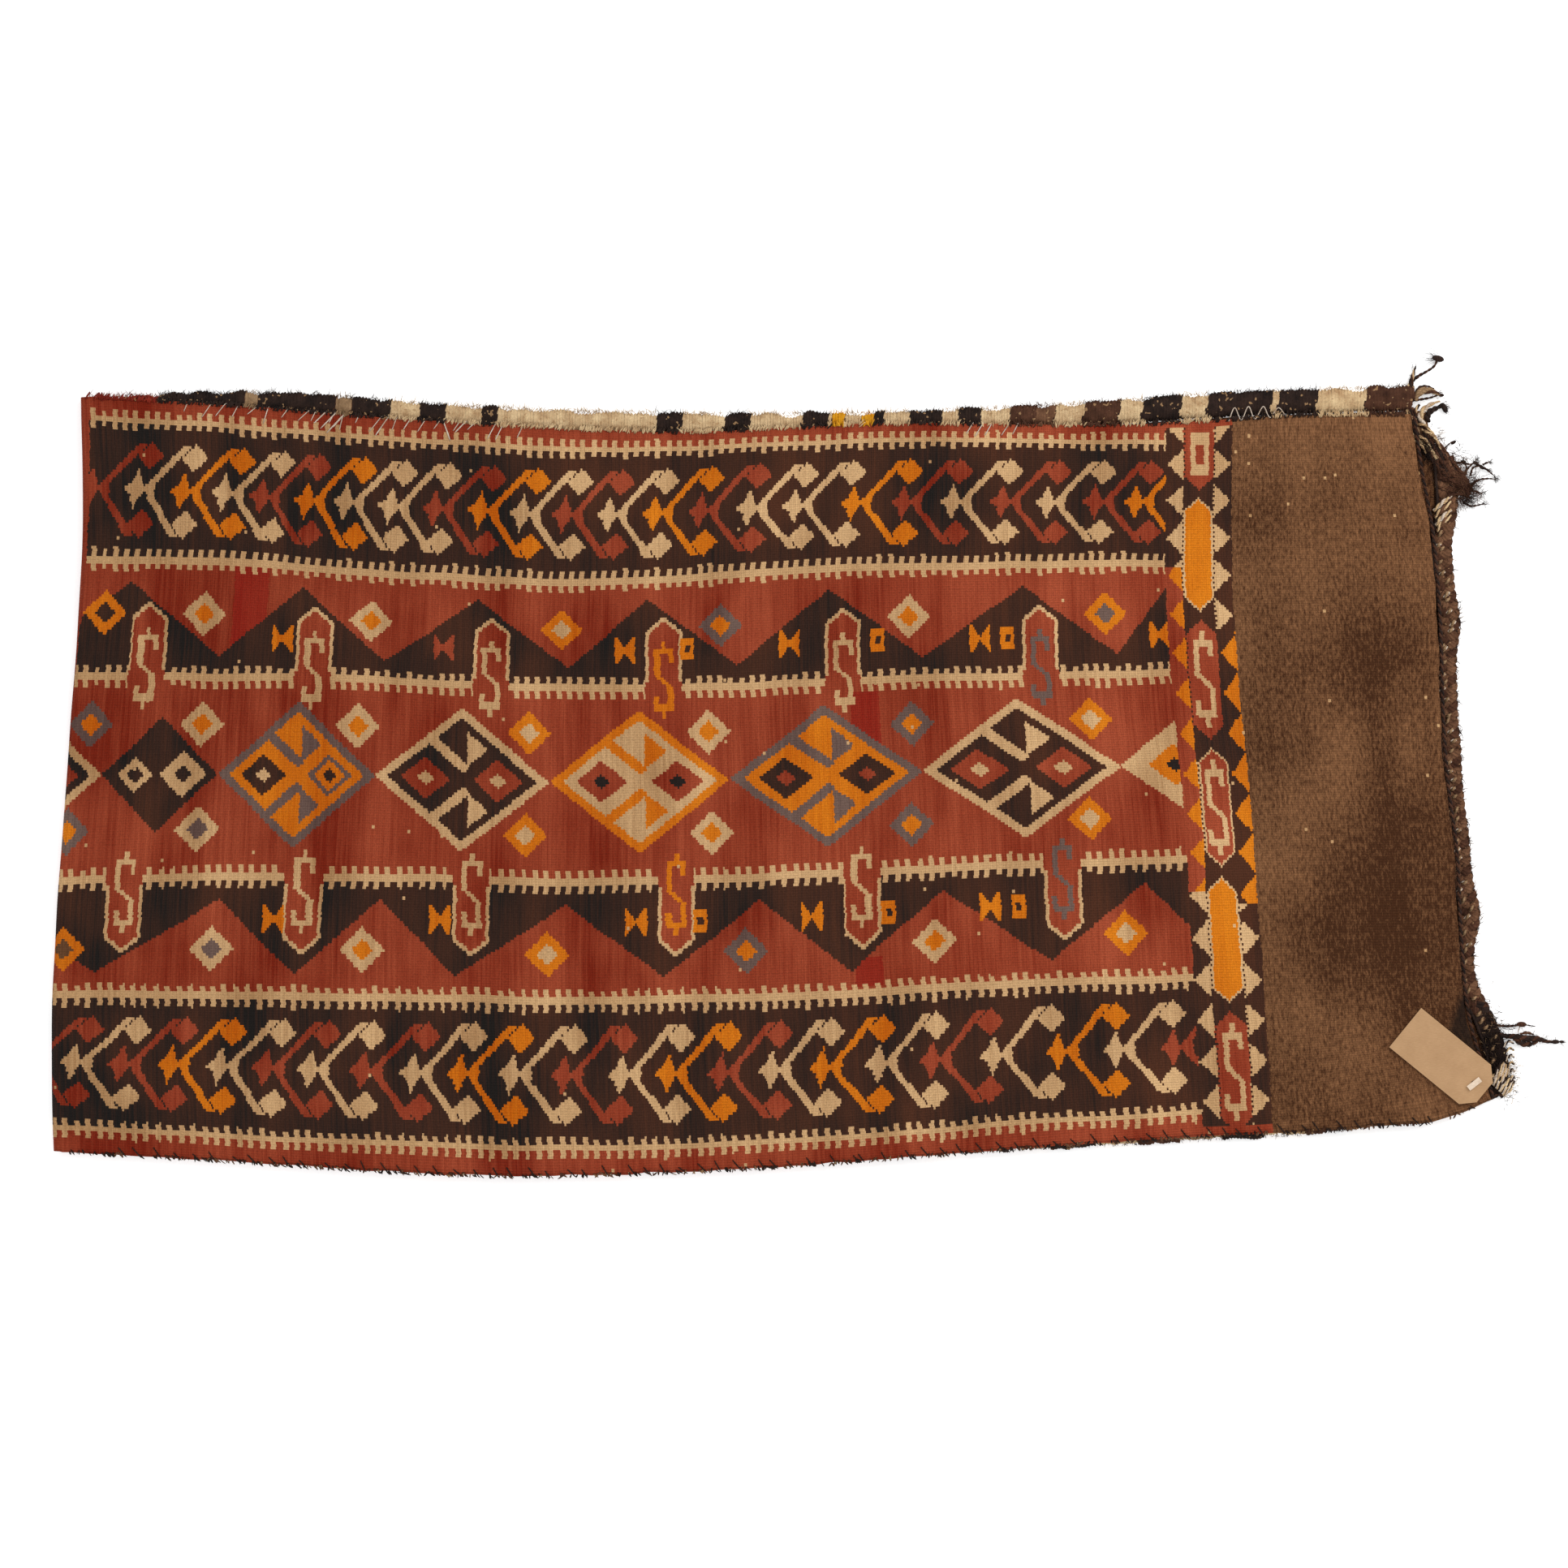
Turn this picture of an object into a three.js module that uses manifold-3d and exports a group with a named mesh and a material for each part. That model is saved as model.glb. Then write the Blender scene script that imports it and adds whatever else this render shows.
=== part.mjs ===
// A large flat-woven kilim saddle bag, lying empty on its back with its mouth towards +X.
// One strip of cloth is folded at the bottom of the bag (-X) and closed along both sides by thick
// wrapped selvage cords, to which the front is sewn with whip thread. The strip is made here as
// three solids that meet at the fold: the back, the rounded fold and the front.
// The back's mouth ends in a flat braid of warp ends, the front's in a thin cord. Plaited warp
// ends and tufts hang from the two mouth corners, and a blank card tag is held near one of them
// by a nylon fastener.
// Millimetres, +Z up. "Left" is +Y: the bag's left when it stands mouth up with its front to you.
import * as THREE from "three";
import { mergeVertices } from "three/addons/utils/BufferGeometryUtils.js";
import Module from "manifold-3d";

const wasm = await Module();
wasm.setup();

// ---- driving dimensions ----
const CLOTH = 3.0; // thickness of the woven wool
const HOLLOW = 6.0; // space between the front and the back
const FOLD_RADIUS = CLOTH + HOLLOW / 2;
const FRONT_TOP = 2 * FOLD_RADIUS;
const CLEAR = 0.35; // gap kept between pieces that touch
const SIDE_CORD_HEIGHT = 8.2;
const LEFT_CORD_WIDTH = 20;
const RIGHT_CORD_WIDTH = 12;
const BRAID_WIDTH = 18;
const BRAID_HEIGHT = 3.8;
const MOUTH_CORD_WIDTH = 5;
const MOUTH_CORD_HEIGHT = 3.4;
const SEAM_THREAD = 1.3; // thread diameter
const TAG = { length: 82, width: 40.5, thick: 0.8, clip: 10, hole: 2.6, holeInset: 11 };
const TAG_PLACE = { x: 511.9, y: -235.7, z: FRONT_TOP + 0.6, yaw: -39.2 };

const LENGTH_STEPS = 26;
const WIDTH_STEPS = 18;

// ---- plan outlines, as smooth lines through a few points ----
const line = (...points) =>
  new THREE.CatmullRomCurve3(points.map(([x, y]) => new THREE.Vector3(x, y, 0)));

const foldLine = line([-603, -309], [-604, -200], [-592, 0], [-578, 200], [-581, 295]);
const front = {
  near: line([-603, -309], [-481, -316], [-237, -329], [-58, -324], [132, -310], [307, -298], [456, -289], [549, -268]),
  far: line([-581, 295], [-489, 290], [-291, 275], [-97, 267], [58, 273], [272, 273], [400, 280], [485, 281]),
  mouth: line([549, -268], [529, -201], [525, -144], [519, -53], [510, 28], [508, 122], [502, 190], [485, 281]),
};
// The outer edges of the back with its side cords and its mouth braid.
const outer = {
  near: line([-600, -306], [-481, -312], [-237, -325], [-58, -321], [132, -311], [307, -302], [456, -290], [556, -268]),
  far: line([-580, 297], [-416, 299], [-291, 290], [-97, 283], [58, 284], [201, 290], [331, 299], [500, 305]),
  mouth: line([566, -262], [562, -222], [550, -180], [543, -112], [536, -60], [528, 28], [525, 125], [524, 204], [514, 300]),
};

// Moves a plan line inwards by a distance at each of its ends, keeping its waves.
const shifted = (curve, dx, dy) =>
  new THREE.CatmullRomCurve3(curve.points.map((p) => new THREE.Vector3(p.x + dx, p.y + dy, 0)));

const backEdges = {
  near: shifted(outer.near, 0, RIGHT_CORD_WIDTH + CLEAR),
  far: shifted(outer.far, 0, -LEFT_CORD_WIDTH - CLEAR),
  mouth: shifted(outer.mouth, -BRAID_WIDTH - CLEAR, 0),
};

// The y of a side line at a given x, by halving.
function yAt(curve, x) {
  let [low, high] = [0, 1];
  for (let i = 0; i < 30; i++) {
    const middle = (low + high) / 2;
    if (curve.getPoint(middle).x < x) low = middle;
    else high = middle;
  }
  return curve.getPoint(low).y;
}

// The x of a mouth line or the fold line at a given share of the width.
const xAcross = (curve, t) => curve.getPointAt(t).x;

// A plan point: s runs from the fold (0) to the mouth (1), t from the near side (0) to the far one (1).
function planPoint(edges, s, t) {
  const x = THREE.MathUtils.lerp(xAcross(foldLine, t), xAcross(edges.mouth, t), s);
  return [x, THREE.MathUtils.lerp(yAt(edges.near, x), yAt(edges.far, x), t)];
}

// ---- solids ----

// Skins a row of rings, each a list of [x, y, z], and closes both ends with the given triangles.
function sweep(rings, ends) {
  const sides = rings[0].length;
  const index = [];
  for (let i = 0; i + 1 < rings.length; i++)
    for (let j = 0; j < sides; j++) {
      const next = (j + 1) % sides;
      const [a, b] = [i * sides + j, i * sides + next];
      index.push(a, b, a + sides, b, b + sides, a + sides);
    }
  const last = (rings.length - 1) * sides;
  for (const [a, b, c] of ends) index.push(c, b, a, last + a, last + b, last + c);
  const geometry = new THREE.BufferGeometry();
  geometry.setAttribute("position", new THREE.Float32BufferAttribute(rings.flat(2), 3));
  geometry.setIndex(index);
  return geometry;
}

// A body swept through convex rings: its ends are fans.
function closedSweep(rings) {
  const sides = rings[0].length;
  return sweep(rings, Array.from({ length: sides - 2 }, (_, j) => [0, j + 1, j + 2]));
}

// A body swept through rings of any outline in the XZ plane.
function closedProfileSweep(rings) {
  const outline = rings[0].map(([x, , z]) => new THREE.Vector2(x, z));
  return sweep(rings, THREE.ShapeUtils.triangulateShape(outline, []));
}

function solidOf(geometry) {
  const bare = geometry.clone();
  for (const name of ["normal", "uv"]) bare.deleteAttribute(name);
  const merged = mergeVertices(bare, 1e-3);
  const mesh = new wasm.Mesh({
    numProp: 3,
    vertProperties: new Float32Array(merged.attributes.position.array),
    triVerts: new Uint32Array(merged.index.array),
  });
  return new wasm.Manifold(mesh);
}

function geometryOf(solid) {
  const mesh = solid.getMesh();
  const geometry = new THREE.BufferGeometry();
  geometry.setAttribute("position", new THREE.BufferAttribute(new Float32Array(mesh.vertProperties), 3));
  geometry.setIndex(new THREE.BufferAttribute(new Uint32Array(mesh.triVerts), 1));
  return geometry;
}

// The shares of the length at which an edge has its points, from just past the round fold.
const FIRST = (FOLD_RADIUS + 1.6) / 1120;
const share = (i) => FIRST + ((1 - FIRST) * i) / LENGTH_STEPS;

// A flat panel of the cloth between its two sides, its mouth and the fold.
function panelGeometry(edges) {
  const near = Array.from({ length: LENGTH_STEPS + 1 }, (_, i) => planPoint(edges, share(i), 0));
  const far = Array.from({ length: LENGTH_STEPS + 1 }, (_, i) => planPoint(edges, share(i), 1));
  const between = (s) => Array.from({ length: WIDTH_STEPS - 1 }, (_, k) => planPoint(edges, s, (k + 1) / WIDTH_STEPS));
  const outline = [...near, ...between(1), ...far.reverse(), ...between(FIRST).reverse()];
  const shape = new THREE.Shape(outline.map(([x, y]) => new THREE.Vector2(x, y)));
  return new THREE.ExtrudeGeometry(shape, { depth: CLOTH, bevelEnabled: false });
}

// The round fold: a half ring with its open side towards the mouth, from side to side of the cloth.
function foldGeometry() {
  const turns = Array.from({ length: 9 }, (_, i) => Math.PI / 2 + (Math.PI * i) / 8);
  const ringPoint = (radius) => (turn) => [Math.cos(turn) * radius, FOLD_RADIUS + Math.sin(turn) * radius];
  const profile = [...turns.map(ringPoint(FOLD_RADIUS)), ...turns.reverse().map(ringPoint(HOLLOW / 2))];
  const rings = Array.from({ length: WIDTH_STEPS + 1 }, (_, k) => {
    const [x, y] = planPoint(front, FOLD_RADIUS / 1120, 1 - k / WIDTH_STEPS);
    return profile.map(([dx, z]) => [x + dx, y, z]);
  });
  return closedProfileSweep(rings);
}

// A flattened cord of elliptical section along centre points [x, y, z], with its width level.
function cordAlong(points, width, height, sides = 10) {
  const centres = points.map((p) => new THREE.Vector3(...p));
  const rings = centres.map((centre, i) => {
    const before = centres[Math.max(i - 1, 0)];
    const after = centres[Math.min(i + 1, centres.length - 1)];
    const along = after.clone().sub(before).setZ(0).normalize();
    const sideways = new THREE.Vector3(-along.y, along.x, 0);
    return Array.from({ length: sides }, (_, j) => {
      const turn = (2 * Math.PI * j) / sides;
      const out = (Math.cos(turn) * width) / 2;
      return [
        centre.x + sideways.x * out,
        centre.y + sideways.y * out,
        centre.z + (Math.sin(turn) * height) / 2,
      ];
    });
  });
  return closedSweep(rings);
}

// A side cord lies beside the back's edge (t is 0 or 1) from the fold to the mouth.
function sideCord(t, width, outwards) {
  const edge = Array.from({ length: LENGTH_STEPS + 1 }, (_, i) => planPoint(backEdges, share(i), t));
  const trimmed = (end, next) => end.map((value, axis) => value + 0.07 * (next[axis] - value));
  edge[0] = trimmed(edge[0], edge[1]);
  edge[edge.length - 1] = trimmed(edge.at(-1), edge.at(-2));
  const bevel = 1.5;
  const shape = new THREE.Shape();
  edge.forEach(([x, y], i) => shape[i ? "lineTo" : "moveTo"](x, y + outwards * (CLEAR + bevel)));
  edge.toReversed().forEach(([x, y]) => shape.lineTo(x, y + outwards * (width - bevel)));
  const geometry = new THREE.ExtrudeGeometry(shape, {
    depth: SIDE_CORD_HEIGHT - 2 * bevel,
    bevelThickness: bevel,
    bevelSize: bevel,
    bevelSegments: 1,
  });
  geometry.translate(0, 0, bevel);
  return geometry;
}

// A round strand through free points, as a tube with closed ends.
function strand(points, diameter, sides = 8, steps = 18) {
  const path = new THREE.CatmullRomCurve3(points.map((p) => new THREE.Vector3(...p)));
  const section = new THREE.Shape();
  for (let j = 0; j <= sides; j++) {
    const turn = (2 * Math.PI * j) / sides;
    const [x, y] = [(Math.cos(turn) * diameter) / 2, (Math.sin(turn) * diameter) / 2];
    if (j === 0) section.moveTo(x, y);
    else if (j < sides) section.lineTo(x, y);
  }
  return new THREE.ExtrudeGeometry(section, { steps, extrudePath: path, bevelEnabled: false });
}

// A lying tuft of loose warp ends: a flattened, rounded lump.
function tuft(length, width, height) {
  const geometry = new THREE.SphereGeometry(0.5, 14, 10);
  geometry.scale(length, width, height);
  return geometry;
}

// Whip stitches laid in a zigzag over the front's edge and down onto the side cord.
function whipThread(edge, outwards, xStart, xEnd, stitch, reach) {
  const topOfFront = FRONT_TOP + SEAM_THREAD / 2 + CLEAR;
  const topOfCord = SIDE_CORD_HEIGHT + SEAM_THREAD / 2 + CLEAR;
  const count = Math.round((xEnd - xStart) / stitch);
  const points = [];
  for (let i = 0; i < count; i++) {
    const x = xStart + i * stitch;
    const y = (dx) => yAt(edge, x + dx);
    points.push([x, y(0) - outwards * reach.in, topOfFront]);
    points.push([x + stitch * 0.3, y(stitch * 0.3) + outwards * 0.6, topOfFront]);
    points.push([x + stitch * 0.5, y(stitch * 0.5) + outwards * reach.out, topOfCord]);
    points.push([x + stitch * 0.7, y(stitch * 0.7) + outwards * 0.6, topOfFront]);
  }
  return tubeThrough(points.map((p) => new THREE.Vector3(...p)), SEAM_THREAD, 6);
}

// A thread of round section with a ring at each corner, square to the mean of its two directions.
function tubeThrough(corners, diameter, sides) {
  const rings = corners.map((centre, i) => {
    const before = corners[Math.max(i - 1, 0)];
    const after = corners[Math.min(i + 1, corners.length - 1)];
    const along = after.clone().sub(before).normalize();
    const side = new THREE.Vector3(0, 0, 1).cross(along).normalize();
    const up = along.clone().cross(side);
    return Array.from({ length: sides }, (_, j) => {
      const turn = (2 * Math.PI * j) / sides;
      const reach = side.clone().multiplyScalar(Math.cos(turn)).addScaledVector(up, Math.sin(turn));
      return centre.clone().addScaledVector(reach, diameter / 2).toArray();
    });
  });
  return closedSweep(rings);
}

// ---- tag and its fastener ----

function tagGeometry() {
  const { length, width, thick, clip, hole, holeInset } = TAG;
  const [end, side] = [length / 2, width / 2];
  const card = new THREE.Shape();
  card.moveTo(-end, -side);
  card.lineTo(end - clip, -side);
  card.lineTo(end, -side + clip);
  card.lineTo(end, side - clip);
  card.lineTo(end - clip, side);
  card.lineTo(-end, side);
  const punched = new THREE.Path();
  punched.absarc(end - holeInset, 0, hole, 0, 2 * Math.PI, true);
  card.holes.push(punched);
  return new THREE.ExtrudeGeometry(card, { depth: thick, bevelEnabled: false, curveSegments: 8 });
}

// The fastener's flat paddle lies on the tag. Its filament goes down through the tag and the front
// cloth to a cross bar inside the bag.
const FASTENER = { filament: 1.1, bar: 1.6, barLength: 9, paddle: [12, 4.4, 0.9], clothHole: 3.4 };

function fastenerGeometry(top, bottom) {
  const filament = new THREE.CylinderGeometry(FASTENER.filament / 2, FASTENER.filament / 2, top - bottom, 8);
  filament.rotateX(Math.PI / 2).translate(0, 0, (top + bottom) / 2);
  const bar = new THREE.CylinderGeometry(FASTENER.bar / 2, FASTENER.bar / 2, FASTENER.barLength, 8);
  bar.translate(0, 0, bottom);
  const paddle = new THREE.BoxGeometry(...FASTENER.paddle);
  paddle.rotateZ(THREE.MathUtils.degToRad(38)).translate(0, 0, top);
  return geometryOf(solidOf(filament).add(solidOf(bar)).add(solidOf(paddle)));
}

// ---- the bag ----

const wool = (colour) => new THREE.MeshStandardMaterial({ color: colour, roughness: 0.95, metalness: 0 });
const FINISH = {
  kilim: wool(0x8f3726),
  goatHair: wool(0x3a2a22),
  creamWool: wool(0xc9a67c),
  cotton: wool(0xcdbfae),
  card: new THREE.MeshStandardMaterial({ color: 0xc59f78, roughness: 0.8, metalness: 0 }),
  nylon: new THREE.MeshStandardMaterial({ color: 0xe6dfd4, roughness: 0.4, metalness: 0 }),
};

const bag = new THREE.Group();

function piece(name, geometry, finish, parent = bag) {
  const mesh = new THREE.Mesh(geometry, finish);
  mesh.name = name;
  parent.add(mesh);
  return mesh;
}

// The tag is turned in its own group, which also places its hole.
const tagGroup = new THREE.Group();
tagGroup.position.set(TAG_PLACE.x, TAG_PLACE.y, TAG_PLACE.z);
tagGroup.rotation.z = THREE.MathUtils.degToRad(TAG_PLACE.yaw);
tagGroup.updateMatrixWorld(true);
bag.add(tagGroup);
piece("tag", tagGeometry(), FINISH.card, tagGroup);
const tagHole = new THREE.Vector3(TAG.length / 2 - TAG.holeInset, 0, TAG.thick).applyMatrix4(tagGroup.matrixWorld);

piece("bag_back", panelGeometry(backEdges), FINISH.kilim);
piece("bag_fold", foldGeometry(), FINISH.kilim);
const needle = new THREE.CylinderGeometry(FASTENER.clothHole / 2, FASTENER.clothHole / 2, 12, 10);
needle.rotateX(Math.PI / 2).translate(tagHole.x, tagHole.y, CLOTH / 2);
const frontPanel = geometryOf(solidOf(panelGeometry(front)).subtract(solidOf(needle)));
piece("bag_front", frontPanel, FINISH.kilim).position.z = FRONT_TOP - CLOTH;

const paddleHeight = tagHole.z + FASTENER.paddle[2] / 2 + 0.75;
const fastener = piece("tag_fastener", fastenerGeometry(paddleHeight, FRONT_TOP - CLOTH - 1.6), FINISH.nylon);
fastener.position.set(tagHole.x, tagHole.y, 0);

piece("left_side_binding", sideCord(1, LEFT_CORD_WIDTH, 1), FINISH.creamWool);
piece("right_side_binding", sideCord(0, RIGHT_CORD_WIDTH, -1), FINISH.creamWool);

// The braid follows the back's mouth on the floor, the thin cord follows the front's mouth.
const acrossMouth = (make) => Array.from({ length: WIDTH_STEPS + 1 }, (_, k) => make(k / WIDTH_STEPS));
const braidLine = acrossMouth((t) => {
  const [x, y] = planPoint(backEdges, 1, t);
  return [x + BRAID_WIDTH / 2 + 3 * CLEAR, y, BRAID_HEIGHT / 2];
});
const [nearEnd, farEnd] = [braidLine[0], braidLine.at(-1)];
braidLine.unshift([nearEnd[0] + 2, nearEnd[1] - RIGHT_CORD_WIDTH, nearEnd[2]]);
braidLine.push([farEnd[0] - 2, farEnd[1] + LEFT_CORD_WIDTH - 2, farEnd[2]]);
piece("back_mouth_braid", cordAlong(braidLine, BRAID_WIDTH, BRAID_HEIGHT, 12), FINISH.creamWool);

const cordLine = acrossMouth((t) => {
  const [x, y] = planPoint(front, 1, t);
  return [x + MOUTH_CORD_WIDTH / 2 + 2 * CLEAR, y, FRONT_TOP - CLOTH / 2];
});
piece("front_mouth_cord", cordAlong(cordLine, MOUTH_CORD_WIDTH, MOUTH_CORD_HEIGHT, 8), FINISH.goatHair);

piece("left_seam_thread", whipThread(front.far, 1, -548, -200, 21, { in: 9, out: 6 }), FINISH.cotton);
piece("left_seam_repair_thread", whipThread(front.far, 1, 362, 402, 13, { in: 5, out: 8 }), FINISH.cotton);
piece("right_seam_thread", whipThread(front.near, -1, -560, 520, 36, { in: 5, out: 1.5 }), FINISH.goatHair);

// Plaited warp ends at the two mouth corners, lying on the floor just past the braid.
const LEFT_PLAITS = [
  { diameter: 5, points: [[503, 305, 3.2], [500, 316, 3.2], [502, 328, 3], [511, 336, 2.9]] },
  { diameter: 5.4, points: [[518, 292, 3.4], [529, 297, 3.4], [538, 295, 3]] },
  { diameter: 5, points: [[522, 268, 3.2], [532, 279, 3.2], [545, 281, 3]] },
  { diameter: 5.4, points: [[526, 250, 3.4], [537, 241, 3.2], [550, 236, 3], [559, 226, 3]] },
];
LEFT_PLAITS.forEach(({ diameter, points }, i) =>
  piece(`left_corner_plait_${i + 1}`, strand(points, diameter), FINISH.goatHair),
);
const RIGHT_PLAITS = [
  { diameter: 4.6, points: [[562, -208, 3], [580, -204, 2.8], [598, -207, 2.6]] },
  { diameter: 5, points: [[567, -221, 3], [586, -217, 3], [606, -221, 2.8], [620, -222, 2.8]] },
];
RIGHT_PLAITS.forEach(({ diameter, points }, i) =>
  piece(`right_corner_plait_${i + 1}`, strand(points, diameter), FINISH.goatHair),
);

const leftTuft = piece("left_corner_tuft", tuft(34, 22, 8), FINISH.goatHair);
leftTuft.position.set(544, 212, 4);
leftTuft.rotation.z = THREE.MathUtils.degToRad(-30);
const rightTuft = piece("right_corner_tuft", tuft(24, 36, 8), FINISH.goatHair);
rightTuft.position.set(577, -243, 4);
rightTuft.rotation.z = THREE.MathUtils.degToRad(-8);

// The frame's origin is on the floor under the middle of the whole object.
const box = new THREE.Box3().setFromObject(bag, true);
const middle = box.getCenter(new THREE.Vector3());
bag.position.set(-middle.x, -middle.y, 0);

export default bag;
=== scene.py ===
"""A large kilim saddle bag, lying empty on its plain back. The scene is in metres, the numbers here in millimetres.

The cloth is one woven strip, folded at the bottom of the bag. Its pattern is laid out in the weaver's
own coordinates: u runs along the warp from the fold to the front's mouth, h runs across from the
middle of the cloth, positive to the bag's left. The woven lines are straight in (u, h) and
wander on the bag, because the cloth itself is not square."""

import bpy
import numpy as np
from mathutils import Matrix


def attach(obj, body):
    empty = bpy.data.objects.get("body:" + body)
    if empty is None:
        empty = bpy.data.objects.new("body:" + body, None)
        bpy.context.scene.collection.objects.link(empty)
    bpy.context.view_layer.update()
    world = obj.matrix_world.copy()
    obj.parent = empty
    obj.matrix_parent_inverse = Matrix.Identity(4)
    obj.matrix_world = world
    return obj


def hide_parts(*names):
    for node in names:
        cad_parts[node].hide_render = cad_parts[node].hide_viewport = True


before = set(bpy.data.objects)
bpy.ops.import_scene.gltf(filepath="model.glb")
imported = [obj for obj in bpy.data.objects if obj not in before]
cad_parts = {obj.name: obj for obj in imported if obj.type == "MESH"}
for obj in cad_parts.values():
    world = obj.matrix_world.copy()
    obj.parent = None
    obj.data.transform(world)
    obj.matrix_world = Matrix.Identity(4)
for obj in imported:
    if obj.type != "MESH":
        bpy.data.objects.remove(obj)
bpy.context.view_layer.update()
rng = np.random.default_rng(7)
TAU = 2 * np.pi

# ---------------------------------------------------------------- camera, light and floor


def look_down(x, y, across, lens=85.0, sensor=36.0):
    """A camera straight above (x, y) that sees a square this many metres across."""
    data = bpy.data.cameras.new("overhead_camera")
    data.lens, data.sensor_width = lens, sensor
    camera = bpy.data.objects.new("overhead_camera", data)
    camera.location = (x, y, across * lens / sensor + 0.01)
    bpy.context.collection.objects.link(camera)
    bpy.context.scene.camera = camera


def soft_light(name, place, aim, size, power):
    """A square area light at place, turned towards aim."""
    data = bpy.data.lights.new(name, "AREA")
    data.shape, data.size, data.energy = "SQUARE", size, power
    light = bpy.data.objects.new(name, data)
    light.location = place
    direction = np.subtract(aim, place)
    light.rotation_euler = (
        np.arccos(-direction[2] / np.linalg.norm(direction)),
        0,
        np.arctan2(direction[1], direction[0]) - np.pi / 2,
    )
    bpy.context.collection.objects.link(light)


look_down(-0.0249, -0.0182, 1.2558)
soft_light("window_light", (1.9, 1.5, 1.9), (0, 0, 0), 1.8, 54)
soft_light("fill_light", (-1.5, -1.6, 2.4), (0, 0, 0), 2.6, 20)
world = bpy.data.worlds.new("studio")
bpy.context.scene.world = world
world.use_nodes = True
world.node_tree.nodes["Background"].inputs["Color"].default_value = (1, 1, 1, 1)
world.node_tree.nodes["Background"].inputs["Strength"].default_value = 0.74
bpy.context.scene.view_settings.view_transform = "Standard"

# ---------------------------------------------------------------- shader values


class Value:
    """One socket of a material. Arithmetic on values adds Math nodes."""

    def __init__(self, finish, socket):
        self.finish, self.socket = finish, socket

    def math(self, operation, *others):
        return self.finish.add("Math", {"operation": operation}, dict(enumerate((self, *others))))

    def math_after(self, operation, first):
        return self.finish.add("Math", {"operation": operation}, {0: first, 1: self})

    def __abs__(self):
        return self.math("ABSOLUTE")

    def __invert__(self):
        return self.math_after("SUBTRACT", 1.0)

    def floor(self):
        return self.math("FLOOR")

    def near(self, centre, half):
        """1 where the value is within half of the centre."""
        return self.math("COMPARE", centre, half)

    def choose(self, without, within):
        """The first value where this mask is 0, the second where it is 1."""
        return self.math("MULTIPLY_ADD", within - without, without)


for symbol, operation in {
    "add": "ADD", "radd": "ADD", "sub": "SUBTRACT", "mul": "MULTIPLY", "rmul": "MULTIPLY", "truediv": "DIVIDE",
    "mod": "FLOORED_MODULO", "lt": "LESS_THAN", "gt": "GREATER_THAN", "and": "MULTIPLY", "or": "MAXIMUM",
}.items():
    setattr(Value, f"__{symbol}__", lambda self, other, operation=operation: self.math(operation, other))
setattr(Value, "__rsub__", lambda self, other: self.math_after("SUBTRACT", other))


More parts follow.
